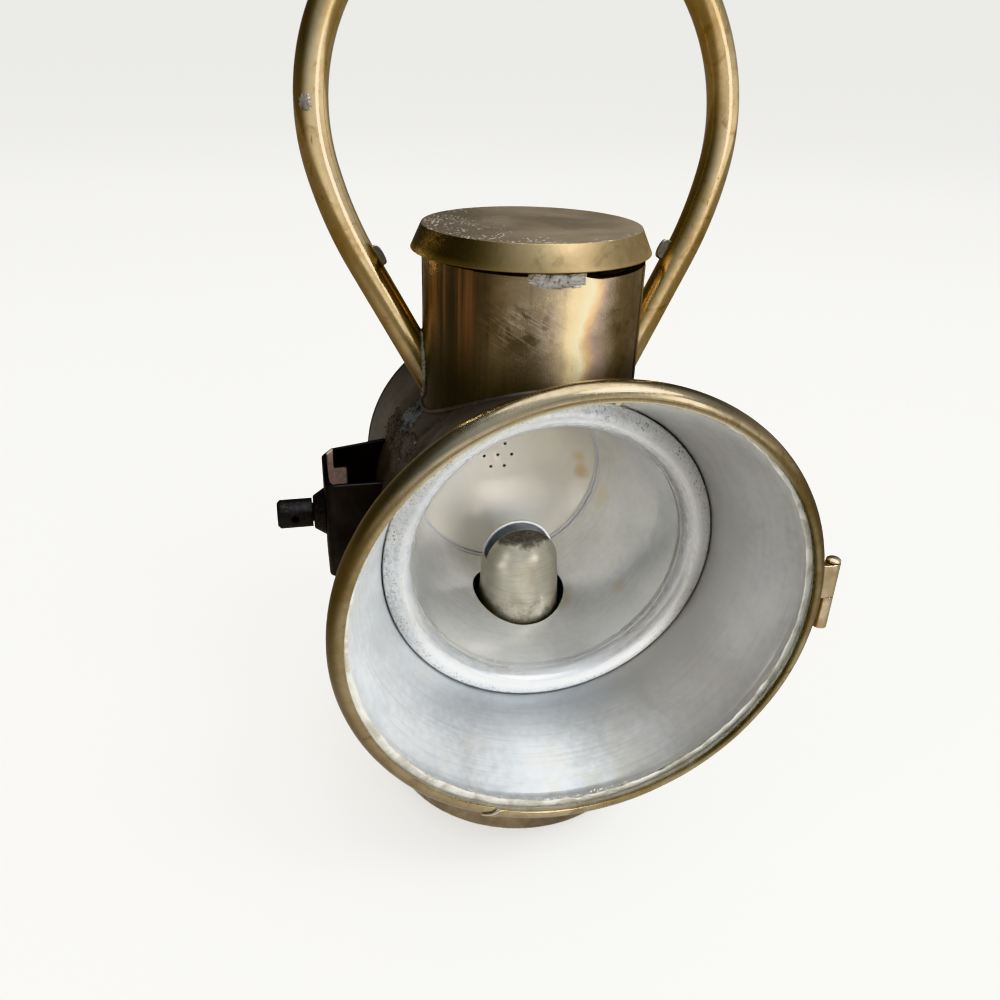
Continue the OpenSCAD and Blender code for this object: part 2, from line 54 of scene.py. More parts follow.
def tone(code):  # a hex colour as it looks on screen, made linear
    parts = [int(code[i:i + 2], 16) / 255 for i in (0, 2, 4)]
    return tuple(c / 12.92 if c <= 0.04045 else ((c + 0.055) / 1.055) ** 2.4 for c in parts) + (1.0,)


class Spec(dict):  # a dictionary whose values can be read as names
    __getattr__ = dict.__getitem__


def spread(low, high, count):  # even steps, with both ends
    return [low + (high - low) * i / count for i in range(count + 1)]


def circle(count):  # angles all round
    return [2 * pi * i / count for i in range(count)]


def placed(name, data):
    piece = bpy.data.objects.new(name, data)
    bpy.context.scene.collection.objects.link(piece)
    return piece


def paint(piece, material):
    piece.data.materials.clear()
    piece.data.materials.append(material)


# node trees
def sumOf(operation, flipped=False):
    return lambda self, other: self.calc(operation, *((other, self) if flipped else (self, other)))


class Tap:  # one output socket, with sums on it
    def __init__(self, sheet, socket):
        self.sheet, self.socket = sheet, socket

    def calc(self, operation, *values):
        return self.sheet.node("ShaderNodeMath", dict(operation=operation), dict(enumerate(values)))

    __add__ = __radd__ = sumOf("ADD")
    __mul__ = __rmul__ = sumOf("MULTIPLY")
    __sub__, __rsub__ = sumOf("SUBTRACT"), sumOf("SUBTRACT", True)
    __truediv__, __rtruediv__ = sumOf("DIVIDE"), sumOf("DIVIDE", True)
    __pow__ = sumOf("POWER")

    def band(self, low, high):  # 0 at low and 1 at high, smooth between
        return self.sheet.node("ShaderNodeMapRange", dict(interpolation_type="SMOOTHSTEP"),
                               {"Value": self, "From Min": low, "From Max": high})

    def away(self, middle):
        return self.calc("ABSOLUTE", self - middle)

    def near(self, middle, reach):  # 1 at the middle, 0 from reach on
        return self.away(middle).band(reach, 0)


class Sheet:  # a node tree, filled by one method, where a text is a hex colour
    def __init__(self, tree):
        self.tree = tree
        tree.nodes.clear()

    def node(self, kind, settings=None, sockets=None, out=0):
        made = self.tree.nodes.new(kind)
        for key, value in (settings or {}).items():
            if key == "stops":
                stops = made.color_ramp.elements
                while len(stops) > 1:
                    stops.remove(stops[-1])
                for i, (spot, colour) in enumerate(value):
                    stop = stops[0] if i == 0 else stops.new(spot)
                    stop.position, stop.color = spot, tone(colour)
            else:
                setattr(made, key, value)
        for key, value in (sockets or {}).items():
            if isinstance(value, Tap):
                self.tree.links.new(value.socket, made.inputs[key])
            else:
                made.inputs[key].default_value = tone(value) if isinstance(value, str) else value
        return Tap(self, made.outputs[out]) if made.outputs else made

    def parts(self, vector):
        return [self.node("ShaderNodeSeparateXYZ", None, {0: vector}, out=i) for i in range(3)]

    def vector(self, operation, sockets, out=0):
        return self.node("ShaderNodeVectorMath", dict(operation=operation), sockets, out)

    def scaled(self, vector, size):
        return self.vector("SCALE", {0: vector, "Scale": size})

    def mix(self, share, first, second):
        return self.node("ShaderNodeMix", dict(data_type="RGBA"), {0: share, 6: first, 7: second}, out=2)

    def ramp(self, value, *stops):
        return self.node("ShaderNodeValToRGB", dict(stops=stops), {0: value})

    def geo(self, kind, settings=None, **sockets):
        return self.node("GeometryNode" + kind, settings, {k.replace("_", " "): v for k, v in sockets.items()})


class Finish(Sheet):  # one material
    def __init__(self, name):
        self.material = bpy.data.materials.new(name)
        self.material.use_nodes = True
        super().__init__(self.material.node_tree)
        self.spot = self.node("ShaderNodeTexCoord", out="Object")
        self.facing = self.node("ShaderNodeTexCoord", out="Normal")

    def join(self, x, y, z):
        return self.node("ShaderNodeCombineXYZ", None, {0: x, 1: y, 2: z})

    def stretch(self, scale):
        return self.vector("MULTIPLY", {0: self.spot, 1: scale})

    def cloud(self, size, detail=3, twist=0.0, where=None):  # size of the blotches in metres
        return self.node("ShaderNodeTexNoise", None, {"Vector": where or self.spot, "Scale": 1 / size,
                                                      "Detail": detail, "Roughness": 0.55, "Distortion": twist})

    def cells(self, size):
        return self.node("ShaderNodeTexVoronoi", None, {"Vector": self.spot, "Scale": 1 / size})

    def clouds(self, size, twist, grain):  # blotches and a fine grain
        return self.cloud(size, 4, twist), self.cloud(grain, 4)

    def base(self, share, first, second):
        self.colour = self.mix(share, first, second)

    def coat(self, share, colour):  # covers a share of what is there
        self.base(share, self.colour, colour)

    def bump(self, height, strength, depth):
        return self.node("ShaderNodeBump", None, {"Strength": strength, "Distance": depth, "Height": height})

    def round(self, axis):  # radius, distance along, and the cosine and sine of the angle round an axis
        x, y, z = self.parts(self.spot)
        across, along = (z - axisZ, 0 - y) if axis == "Y" else (0 - y, z)
        radius = ((x * x + across * across) ** 0.5) + 1e-6
        return radius, along, x / radius, across / radius

    def turning(self, axis, fine, wide):  # marks of turning or spinning that run round an axis
        radius, along, cosine, sine = self.round(axis)
        where = self.join(cosine * wide, sine * wide, along / fine)
        return self.node("ShaderNodeTexNoise", dict(noise_dimensions="4D"),
                         {"Vector": where, "W": radius / fine, "Scale": 1, "Detail": 2})

    def metal(self, rough, metallic=1.0, normal=None, **fixed):
        sockets = {"Base Color": self.colour, "Roughness": rough, "Metallic": metallic}
        if normal:
            sockets["Normal"] = normal
        sockets.update({k.replace("_", " "): v for k, v in fixed.items()})
        shader = self.node("ShaderNodeBsdfPrincipled", None, sockets)
        self.node("ShaderNodeOutputMaterial", None, {"Surface": shader})
        return self.material


# stage
stageSpec = Spec(floorReach=60.0, floorTone="f2f1ee", nearGlare="dcd8d0", farGlare="8a857d", nearSpot=-0.32, open=1.5,
                 warmSide="b8b0a4", coolSide="f3f9ff", nearReach=(0.6, 0.12), aim=0.17,
                 glare=[(0.3, "5a5856"), (0.47, "b0aca6"), (0.56, "b0aca6"), (0.73, "747c86"), (1, "c8ced6")])
lightSpec = [
    dict(name="keyBox", spot=(0.95, -1.05, 2.0), size=0.8, power=29),
    dict(name="fillBox", spot=(-1.4, -0.55, 1.0), size=0.8, power=12, mirrored=False),
    dict(name="stripBox", spot=(0.98, -1.25, 0.75), size=0.4, power=2.0),
    dict(name="topBox", spot=(0.15, 0.1, 1.8), size=1.3, power=10),
    dict(name="frontGlobe", kind="POINT", spot=(0.5, -1.85, 0.5), size=0.45, power=125, mirrored=False),
]
cameraSpec = Spec(spot=(-0.0923, -0.3418, 0.3206), yaw=13.52, down=27.4, roll=1.9, lens=32.22, sensor=36,
                  clip=(0.01, 50))


def makeStage():
    mesh = bpy.data.meshes.new("studioFloor")
    shape = bmesh.new()
    bmesh.ops.create_circle(shape, cap_ends=True, segments=96, radius=stageSpec.floorReach)
    shape.to_mesh(mesh)
    shape.free()
    floor = placed("studioFloor", mesh)
    f = Finish("floorPaint")
    # to mirror rays the floor glows instead of reflecting, brighter near the lantern's front: a painted pool of light
    # seen only in reflections
    glare = f.node("ShaderNodeLightPath", out="Is Glossy Ray")
    pale = f.node("ShaderNodeBsdfDiffuse", None, {"Color": stageSpec.floorTone})
    x, y = f.parts(f.spot)[:2]
    ahead = y - stageSpec.nearSpot
    near = ((x * x + ahead * ahead) ** 0.5).band(*stageSpec.nearReach)
    dim = f.node("ShaderNodeEmission", None, {"Color": f.mix(near, stageSpec.farGlare, stageSpec.nearGlare)})
    both = f.node("ShaderNodeMixShader", None, {0: glare, 1: pale, 2: dim})
    f.node("ShaderNodeOutputMaterial", None, {"Surface": both})
    paint(floor, f.material)

    world = bpy.data.worlds.new("studio")  # pale all round, but dimmer where metal mirrors it
    bpy.context.scene.world = world
    world.use_nodes = True
    sky = Sheet(world.node_tree)
    ways = sky.node("ShaderNodeTexCoord", out="Generated")
    side, depth, height = sky.parts(ways)
    ahead = side * 0.6 - depth * 0.8  # 1 towards the front right, -1 towards the back left
    shade = sky.ramp(height * 0.5 + 0.5, *stageSpec.glare)
    shade = sky.scaled(shade, ahead.band(-0.5, 0.9) * 1.7 + 0.3)
    warm, cool, pale = (tone(stageSpec[k]) for k in ("warmSide", "coolSide", "floorTone"))
    far = [(a + b) / 2 * c * stageSpec.open for a, b, c in zip(warm, cool, pale)]  # the far floor's own tone
    seen = sky.node("ShaderNodeLightPath", out="Is Camera Ray")
    glare = sky.node("ShaderNodeLightPath", out="Is Glossy Ray")
    soft = sky.ramp(ahead * 0.5 + 0.5, (0, stageSpec.warmSide), (1, stageSpec.coolSide))
    light = sky.mix(seen, sky.scaled(soft, stageSpec.open), far[:3] + [1])
    light = sky.mix(glare, light, shade)
    sky.node("ShaderNodeOutputWorld", None, {"Surface": sky.node("ShaderNodeBackground", None, {"Color": light})})

    for spec in lightSpec:
        lamp = bpy.data.lights.new(spec["name"], spec.get("kind", "AREA"))
        lamp.energy = spec["power"]
        setattr(lamp, "size" if lamp.type == "AREA" else "shadow_soft_size", spec["size"])
        holder = placed(spec["name"], lamp)
        holder.location = spec["spot"]
        holder.visible_camera, holder.visible_glossy = False, spec.get("mirrored", True)
        aim = Vector((0, 0, stageSpec.aim)) - holder.location
        holder.rotation_euler = aim.to_track_quat("-Z", "Y").to_euler()

    eye = bpy.data.cameras.new("photoCamera")
    eye.lens, eye.sensor_width = cameraSpec.lens, cameraSpec.sensor
    eye.clip_start, eye.clip_end = cameraSpec.clip
    camera = placed("photoCamera", eye)
    yaw, down, roll = (radians(cameraSpec[k]) for k in ("yaw", "down", "roll"))
    camera.matrix_world = Matrix.Translation(cameraSpec.spot)
    for turn, axis in ((-yaw, "Z"), (pi / 2 - down, "X"), (roll, "Z")):
        camera.matrix_world = camera.matrix_world @ Matrix.Rotation(turn, 4, axis)
    bpy.context.scene.camera = camera
    bpy.context.scene.view_settings.view_transform = "Khronos PBR Neutral"
    print("stage and camera set")


makeStage()


# finishes
def agedBrass(name, bright, middle, dark, rough=(0.26, 0.46), blotch=0.03, seed=0.0, scratch=0.12):
    f = Finish(name)
    shift = f.vector("ADD", {0: f.spot, 1: (seed, seed * 0.7, -seed)})
    wide = f.cloud(blotch, 4, 0.6, shift)
    fine = f.cloud(0.0035, 5, 0, shift)
    age = (wide * 0.7 + fine * 0.3).band(0.36, 0.66)
    f.base(age, bright, middle)
    spots = (f.cloud(0.012, 5, 1.5, shift) * 0.8 + fine * 0.2).band(0.55, 0.72)
    f.coat(spots * 0.5, dark)
    lines = f.cloud(0.0006, 2, 0, f.stretch((1, 1, 0.06)))
    wear = age * (rough[1] - rough[0]) + rough[0] + (lines - 0.5) * 0.18
    return f, wear, f.bump(lines * 0.5 + fine * 0.5, scratch, 0.0003)


def plainBrass(name, *tones, **more):
    f, wear, normal = agedBrass(name, *tones, **more)
    return f.metal(wear, 1.0, normal)


def neckFinish():
    f, wear, normal = agedBrass("neckBronze", "c6b598", "9c8c74", "58524d", (0.2, 0.36), 0.04)
    height, cosine, sine = f.round("Z")[1:]
    angle = cosine.calc("ARCTAN2", cosine, sine)  # 0 faces the front, and it grows towards the hinge side
    drift = f.cloud(0.02, 3)
    lines = f.cloud(1, 3, 0, f.join(cosine * 11, sine * 11, height * 7))
    # a broad paler band on the front of the neck: painted highlight
    front = (angle + (drift - 0.5) * 0.5).near(-0.05, 0.75)
    f.coat(front * 0.6, "dccbb0")
    # the left of the neck painted darker: painted shade
    f.coat((angle + (drift - 0.5) * 0.3).band(-0.35, -0.85) * 0.8, "66615d")
    f.coat(lines.band(0.48, 0.34) * 0.28, "464341")
    copper = angle.band(-0.45, -0.8) * height.band(0.2, 0.24) * lines.band(0.44, 0.62)
    f.coat(copper * 0.8, "c0967a")
    # a streak in heat-stain tones, partly a real heat stain and partly a painted highlight
    heat = angle + (drift - 0.5) * 0.35 - (height - 0.22) * 2.0
    stain = f.ramp(heat.band(-0.16, 0.62), (0, "a08a68"), (0.22, "f4dba6"), (0.42, "fff0c4"), (0.56, "e8bd84"),
                   (0.72, "b89c98"), (1, "9a8a74"))
    heatStainAndHighlight = heat.near(0.16, 0.42) * height.band(0.186, 0.215)
    f.coat(heatStainAndHighlight * 0.9, stain)
    slant = f.join((angle * 0.0217 + height * 0.87) / 0.0007, (angle * 0.0378 - height * 0.5) / 0.009, 0)
    scuffs = f.node("ShaderNodeTexNoise", None, {"Vector": slant, "Scale": 1, "Detail": 3}).band(0.52, 0.66)
    worn = (angle + (drift - 0.5) * 0.4).near(-0.3, 0.42) * height.near(0.228, 0.016)
    f.coat(worn * f.cloud(0.007, 4, 1.0).band(0.48, 0.62) * 0.7, "57493a")
    f.coat(worn * scuffs * 0.9, "f3e9d6")
    # darker towards the neck's foot, less so where the streak is: painted shade
    low = height.band(0.226, 0.2) * (0.85 - angle.band(-0.2, -0.75) * 0.12) * (1 - heatStainAndHighlight * 0.6)
    f.coat(low, "3d3c3b")
    # less metal where the painted highlight and the heat streak are, so that they read brighter
    return f.metal(wear, 1 - front * 0.15 - heatStainAndHighlight * 0.45, normal, Anisotropic=0.6)


def handleFinish():
    f, wear, normal = agedBrass("handleBrass", "f4ddb0", "d6b680", "987849", (0.13, 0.27), 0.05, 1.7, 0.008)
    x, _, z = f.parts(f.spot)
    foot = (z + (f.cloud(0.012, 3) - 0.5) * 0.02).band(0.222, 0.196)
    f.coat(foot * x.band(0.0, -0.02) * 0.7, "5d6670")
    scrapes = f.cloud(0.0012, 3, 0, f.stretch((1, 1, 0.25))).band(0.66, 0.72) * f.cloud(0.03, 3).band(0.5, 0.62)
    f.coat(scrapes * 0.6, "4f3b22")
    shadedWest = f.parts(f.facing)[0].band(0.0, -0.8)  # the side turned to the left, painted browner: painted shade
    f.coat(shadedWest * 0.45, "94714f")
    return f.metal(wear, 1.0, normal)


def lugFinish():
    f = Finish("lugBrass")
    # faces turned to the front are painted pale and the rest dark: painted light and shade
    front = (0 - f.parts(f.facing)[1]).band(0.6, 0.9)
    fine = f.cloud(0.0012, 4)
    f.base(front * (0.9 - fine * 0.3), "b9b4a8", "45423b")
    return f.metal(0.32 + fine * 0.2, 1.0, f.bump(fine, 0.3, 0.0004))


def capFinish():
    f, wear, normal = agedBrass("capBrass", "b8a47e", "9d8a68", "6d5d46", (0.38, 0.5), 0.03, 0.2, 0.05)
    radius, height, cosine = f.round("Z")[:3]
    x, y = f.parts(f.spot)[:2]
    up = f.parts(f.facing)[2].band(0.6, 0.9)
    dull = f.mix(f.cloud(0.03, 4, 0.5).band(0.35, 0.7), "8b7e6a", "716656")
    edge = radius.band(0.034, 0.0425)
    dust = f.cells(0.0016).band(0.36, 0.18) * f.cloud(0.01, 4).band(0.42, 0.56)
    dust = dust * (edge * 0.4 + x.band(0.01, -0.035) * 0.6 + y.band(-0.015, -0.04) * 0.5).band(0.1, 0.8)
    # the left of the cap's top painted darker: painted shade
    dull = f.mix(x.band(0.005, -0.035) * 0.7, dull, "5b5349")
    dull = f.mix(dust * 0.65, dull, "cfc5b4")
    f.coat(up, dull)
    # the skirt painted darker on the left: painted shade
    left = cosine.band(-0.35, -0.85) * (1 - up)
    f.coat(left * 0.8, "3c3733")
    lip = height.band(0.2515, 0.2485) * (1 - up)
    f.coat(lip * 0.5, "c4aa7c")
    rough = wear * (1 - up) + up * (0.55 + dust * 0.35)
    return f.metal(rough, 1 - up * 0.45 - up * dust * 0.5, normal)


def tinLook(f):  # brushed tin; gives its roughness and height
    rings = f.turning("Y", 0.0012, 2.2)
    wide = f.cloud(0.03, 4, 0.8)
    fine = f.cloud(0.003, 5)
    f.base((wide * 0.6 + fine * 0.4).band(0.35, 0.68), "dadddf", "b9bdc0")
    f.coat(rings.band(0.45, 0.72) * 0.24, "93908b")
    tint = f.cloud(0.022, 3, 1.2)
    f.coat(tint.band(0.52, 0.72) * 0.3, "cfc5b3")
    f.coat(tint.band(0.46, 0.28) * 0.4, "b9c2c9")
    rough = 0.33 + (rings - 0.5) * 0.1 + (wide - 0.5) * 0.12
    return rough, rings * 0.6 + fine * 0.4


def bellFinish():
    f = Finish("bellSheet")
    along, cosine, sine = f.round("Y")[1:]
    nx, _, nz = f.parts(f.facing)
    outside = (nx * cosine + nz * sine).band(-0.25, 0.1)
    tinRough, tinHeight = tinLook(f)
    glint = sine.band(-0.75, -0.97) * f.cloud(0.012, 4, 1.0).band(0.5, 0.62) * along.band(0.07, 0.09)
    f.coat(glint * 0.25, "b3ab80")
    # darker near the throat ring, more so to the right and below: painted shade
    f.coat(along.band(0.078, 0.052) * (0.45 + cosine * 0.3 - sine * 0.35), "82898f")
    # the right side, and more the lower right, painted darker: painted shade
    f.coat((cosine + (f.cloud(0.03, 3) - 0.5) * 0.5).band(0.0, 0.8) * 0.7, "9a948b")
    f.coat((cosine - sine).band(0.4, 1.4) * sine.band(0.1, -0.4) * 0.2, "8f8a81")
    # the left side painted whiter: painted light
    f.coat(cosine.band(-0.4, -0.95) * 0.25, "ffffff")
    wide, fine = f.clouds(0.045, 0.7, 0.003)
    skin = f.mix(wide.band(0.35, 0.7), "67625d", "4b4844")
    skin = f.mix((fine * 0.6 + wide * 0.4).band(0.56, 0.64) * 0.5, skin, "6c625b")
    f.coat(outside, skin)
    rough = outside * (0.28 + fine * 0.2) + (1 - outside) * tinRough
    normal = f.bump(tinHeight * (1 - outside) + fine * outside, 0.06, 0.0004)
    return f.metal(rough, 0.55 + outside * 0.15, normal)


def darkSheet(name, light, deep, red):
    f = Finish(name)
    wide, fine = f.clouds(0.04, 0.7, 0.003)
    f.base(wide.band(0.35, 0.7), light, deep)
    f.coat((fine * 0.5 + wide * 0.5).band(0.55, 0.63) * 0.6, red)
    return f.metal(0.28 + fine * 0.2, 0.7, f.bump(fine, 0.06, 0.0004))


def tinFinish(name, tint="efeeec", share=0.5, softMarks=()):
    f = Finish(name)
    rough = tinLook(f)[0]
    f.coat(share, tint)
    drift = f.cloud(0.012, 2)
    for spot, reach, look, strength in softMarks:  # soft warm or pale marks at a spot in metres
        away = f.vector("DISTANCE", {0: f.spot, 1: spot}, "Value")
        f.coat((away / reach + (drift - 0.5) * 1.2).band(1.1, 0.1) * strength, look)
    return f.metal(rough - 0.12, 0.55)


def ringFinish():
    f = Finish("pittedTin")
    rough = tinLook(f)[0]
    radius, _, cosine, sine = f.round("Y")
    outer = radius.band(0.0600, 0.0635)
    frost = f.cloud(0.0011, 4)
    pits = f.cells(0.0014).band(0.36, 0.18) * f.cloud(0.005, 4).band(0.44, 0.6) * outer
    f.coat(0.3, "f6f6f4")
    # the right side painted darker: painted shade
    f.coat(cosine.band(0.1, 0.9) * 0.6, "9c978f")
    # the bottom of the roll painted white, with less metal so that it takes more light: painted light
    low = sine.band(-0.3, -0.85) * radius.band(0.0575, 0.0615)
    f.coat(low * 0.8, "ffffff")
    f.coat(frost.band(0.46, 0.66) * outer * 0.4, "8d8b84")
    f.coat(pits * 0.75, "4d4a44")
    f.coat(radius.band(0.0668, 0.0674) * 0.9, "2a2826")
    normal = f.bump(frost * outer - pits, 0.15, 0.0004)
    return f.metal(rough - 0.06 + outer * 0.1 + pits * 0.3, 0.62 - low * 0.3, normal)


def domeFinish():
    f = Finish("burnerNickel")
    _, y, z = f.parts(f.spot)
    wide, fine = f.clouds(0.014, 0.6, 0.0016)
    f.base(wide.band(0.36, 0.66), "ebe5d3", "d8d1bc")
    brown = z.band(0.1, 0.089) * (wide * 0.6 + fine * 0.4).band(0.44, 0.6)
    f.coat(brown * 0.55, "93794a")
    cosine, sine = f.round("Z")[2:]
    angle = cosine.calc("ARCTAN2", cosine, sine)
    # darker towards the sides, away from the front: painted shade
    f.coat(angle.away(0.15).band(0.4, 1.3) * 0.5, "9a968b")
    nx, ny = f.parts(f.facing)[:2]
    paintedLitInside = (nx * cosine - ny * sine).band(0.0, -0.2)
    soot = ((z - 0.1188) * 260 + (wide - 0.5) * 1.6 + (fine - 0.5) * 0.7).band(0.0, 0.5) * y.band(0.001, -0.003)
    f.coat(soot * 0.95, f.mix(fine.band(0.4, 0.6), "565450", "6b655d"))
    # the inner face painted near white and without metal, so that the shaded inside reads lighter: painted light
    f.coat(paintedLitInside, "f0f3f6")
    cut = y.calc("ABSOLUTE", y).near(0.004, 0.0004) * z.band(0.1095, 0.1102)
    f.coat(cut * 0.8, "eef1f3")
    lines = f.turning("Z", 0.0006, 1.5)
    f.coat(lines.band(0.5, 0.7) * 0.3, "a8a292")
    rough, normal = 0.36 + (soot + paintedLitInside) * 0.12, f.bump(fine * soot, 0.03, 0.0003)
    return f.metal(rough, 0.86 * (1 - paintedLitInside) - soot * 0.3, normal, Specular_IOR_Level=0.2)


def rimFinish():
    f, wear, normal = agedBrass("rimBrass", "d4c4a2", "aa9672", "705f48", (0.17, 0.32), 0.03, 0.5, 0.05)
    cosine, sine = f.round("Y")[2:]
    nx, ny, nz = f.parts(f.facing)
    out = nx * cosine + nz * sine  # 1 on the rim's outer side, -1 on its inner side
    top = sine.band(0.5, 0.95)
    paintedTopHighlight = top * out.band(0.32, -0.12) * (0 - ny).band(0.1, 0.7)
    # the rim's outer side painted darker brown: painted shade
    f.coat(out.band(0.05, 0.75) * (0.7 - top * 0.1), "716452")
    # the left, below the top, painted darker: painted shade
    f.coat(cosine.band(-0.3, -0.85) * 0.45 * sine.band(0.6, 0.2), "857762")
    # the upper left painted paler: painted highlight
    f.coat(cosine.near(-0.5, 0.45) * sine.band(0.2, 0.6) * 0.5, "e2d6bc")
    # the inner side on the right painted dark: painted shadow
    f.coat(cosine.band(0.2, 0.8) * out.band(0.3, -0.2) * 0.85, "3b3a2c")
    # paler brass along the rim's top front: painted highlight
    f.coat(paintedTopHighlight * 0.85, "f3e6c8")
    return f.metal(wear, 1.0, normal)


def glassFinish():
    f = Finish("doorGlass")
    radius = f.round("Y")[0]
    smear = f.cloud(0.03, 5, 1.2)
    grime = radius.band(0.079, 0.0865) * (f.cloud(0.006, 4) * 0.7 + 0.3)
    alpha = 0.035 + smear.band(0.5, 0.75) * 0.03 + grime * 0.3
    f.base(grime, "20282a", "c9c7ba")
    return f.metal(0.04 + grime * 0.5, 0.0, None, IOR=1.5, Alpha=alpha)


def puttyFinish():
    f = Finish("oldPutty")
    grain = f.cloud(0.0012, 4)
    stain = f.cloud(0.01, 4, 0.8)
    f.base(stain.band(0.4, 0.65), "dcd9d0", "a9a292")
    return f.metal(0.9, 0.0, f.bump(grain, 0.6, 0.0006))


def cottonFinish():
    f = Finish("wickCotton")
    z = f.parts(f.spot)[2]
    weave = f.node("ShaderNodeTexWave", dict(bands_direction="DIAGONAL"), {"Vector": f.spot, "Scale": 330})
    char = (z + (f.cloud(0.002, 3) - 0.5) * 0.004).band(0.111, 0.1155)
    f.base(f.cloud(0.004, 4).band(0.3, 0.7), "cfc3a6", "a8997a")
    f.coat(char, "1b1815")
    return f.metal(0.92, 0.0, f.bump(weave, 0.5, 0.0005))


def ironFinish():
    f = Finish("blackIron")
    wide, fine = f.clouds(0.006, 0.8, 0.0012)
    f.base(wide.band(0.4, 0.65), "363535", "292828")
    f.coat((wide * 0.5 + fine * 0.5).band(0.54, 0.64) * 0.5, "4b4441")
    return f.metal(0.38 + fine * 0.2, 0.7, f.bump(fine, 0.25, 0.0004))


def solderFinish(name, light, deep):
    f = Finish(name)
    wide, fine = f.clouds(0.004, 0.8, 0.0009)
    f.base(wide.band(0.38, 0.66), light, deep)
    f.coat(fine.band(0.54, 0.66) * 0.7, "403c37")
    return f.metal(0.36 + fine * 0.2, 0.85, f.bump(fine + wide, 0.5, 0.0005))


def sootFinish():
    f = Finish("collarSoot")
    f.base(f.cloud(0.008, 4).band(0.4, 0.7), "0c0b0a", "1d1916")
    return f.metal(0.8, 0.2, Specular_IOR_Level=0.1)


def socketFinish():
    f = Finish("socketSheet")
    x, y, z = f.parts(f.spot)
    ny = f.parts(f.facing)[1]
    wide, fine = f.clouds(0.02, 0.7, 0.002)
    f.base(wide.band(0.35, 0.7), "3f3d3c", "2d2c2c")
    inner = y.band(0.016, 0.0175) * ny.band(-0.3, -0.7)
    low = (z + (wide - 0.5) * 0.006).band(0.1515, 0.1495)
    # a pink copper tone on the inner back wall, only where light falls, with less metal so that it takes more light:
    # partly the sheet's own colour, partly painted light
    copper = inner * (low * x.band(-0.0745, -0.0765) + x.band(-0.0805, -0.0815)).band(0, 0.9)
    f.coat(copper * (0.4 + fine), "ccb3a6")
    return f.metal(0.3 + fine * 0.2, 0.85 - copper * 0.6, f.bump(fine, 0.1, 0.0004))


finishes = {
    "tarnished_brass": plainBrass("baseBrass", "ab9c86", "887b6a", "544c44", rough=(0.22, 0.4), seed=0.9, scratch=0.05),
    "bronzed_brass": darkSheet("drumSheet", "67625d", "4b4844", "6c625b"),
    "neck_brass": neckFinish(),
    "cap_brass": capFinish(),
    "handle_brass": handleFinish(),
    "rim_brass": rimFinish(),
    "tinned_sheet": tinFinish("bowlTin", softMarks=[
        ((0.0398, -0.024, 0.1035), 0.006, "cdb78c", 0.4),
        ((0.046, 0.02, 0.125), 0.008, "e2cfa6", 0.4), ((0.017, -0.0113, 0.0897), 0.008, "c9b48a", 0.4)]),
    "burner_metal": domeFinish(),
    "clear_glass": glassFinish(),
    "old_putty": puttyFinish(),
    "wick_cotton": cottonFinish(),
    "black_iron": ironFinish(),
    "solder": solderFinish("oldSolder", "a19d93", "726d66"),
    "dark_solder": solderFinish("darkSolder", "8f9294", "5a5a5a"),
    "bright_solder": solderFinish("brightSolder", "d0cdc5", "a8a49b"),
    "bare_metal": plainBrass("bareMetal", "f6f1e4", "e6dcc6", "a89a82", blotch=0.004, seed=4.2),
    "hinge_brass": plainBrass("hingeBrass", "f0e0c4", "c8b290", "806c52", blotch=0.008, rough=(0.18, 0.32), seed=3.1,
                              scratch=0.05),
    "lug_brass": lugFinish(),
    "bell_sheet": bellFinish(),
    "pitted_tin": ringFinish(),
    "soot": sootFinish(),
    "socket_sheet": socketFinish(),
    # the dish's tin is a paler, warmer copy of the bowl's: painted light
    "dish_tin": tinFinish("dishTin", "fdf6e8", 0.85, [
        ((0.0386, 0.0364, 0.1322), 0.005, "d8b066", 0.55), ((0.0375, 0.0368, 0.139), 0.005, "e0bf80", 0.5)]),
}
slotOf = {part["node"]: part["material_slot"] for part in frame["record"]["subparts"]}
special = dict(bell="bell_sheet", throat_ring="pitted_tin", cap_collar="soot", bracket_socket="socket_sheet",
               clamp_boss="black_iron", rear_dish="dish_tin", door_knuckle="hinge_brass", bell_knuckle="hinge_brass",
               hinge_pin="hinge_brass")
for name, piece in nodes.items():
    paint(piece, finishes[special.get(name, slotOf[name])])
print("finishes set")


# mesh helpers
def spotAt(radius, angle, along, axis="Y"):  # millimetres round an axis, as a point in metres
    if axis == "Y":
        return Vector((radius * cos(angle), -along, radius * sin(angle))) * mm + Vector((0, 0, axisZ))
    return Vector((radius * sin(angle), -radius * cos(angle), along)) * mm


def softened(corners, radius, pieces=4):  # a closed section with its corners rounded
    loop = []
    for i, corner in enumerate(corners):
        here, last, after = (Vector(p) for p in (corner, corners[i - 1], corners[(i + 1) % len(corners)]))
        one, two = last - here, after - here
        cut = min(radius / max(tan(one.angle(two) / 2), 0.05), one.length * 0.49, two.length * 0.49)
        first, final = here + one.normalized() * cut, here + two.normalized() * cut
        for t in spread(0, 1, pieces):
            loop.append(tuple(first * (1 - t) ** 2 + here * 2 * t * (1 - t) + final * t * t))
    return loop


def bridged(rings, around=False, shape=None):  # faces between rings of points, and over the ends of an open row
    shape = shape or bmesh.new()
    rings = [[shape.verts.new(spot) for spot in ring] for ring in rings]
    for one, two in zip(rings, rings[1:] + rings[:1] if around else rings[1:]):
        for j in range(len(one)):
            k = (j + 1) % len(one)
            shape.faces.new((one[j], one[k], two[k], two[j]))
    if not around:
        shape.faces.new(rings[0])
        shape.faces.new(rings[-1])
    return shape


def turned(section, steps=240, axis="Y", start=0.0, sweep=2 * pi, shift=None):  # sweeps a closed section
    whole = sweep > 6.28
    rings = []
    for i in range(steps if whole else steps + 1):
        angle = start + sweep * i / steps
        moved = [shift(r, angle, h) if shift else (r, angle, h) for r, h in section]
        rings.append([spotAt(*spot, axis) for spot in moved])
    return bridged(rings, whole)


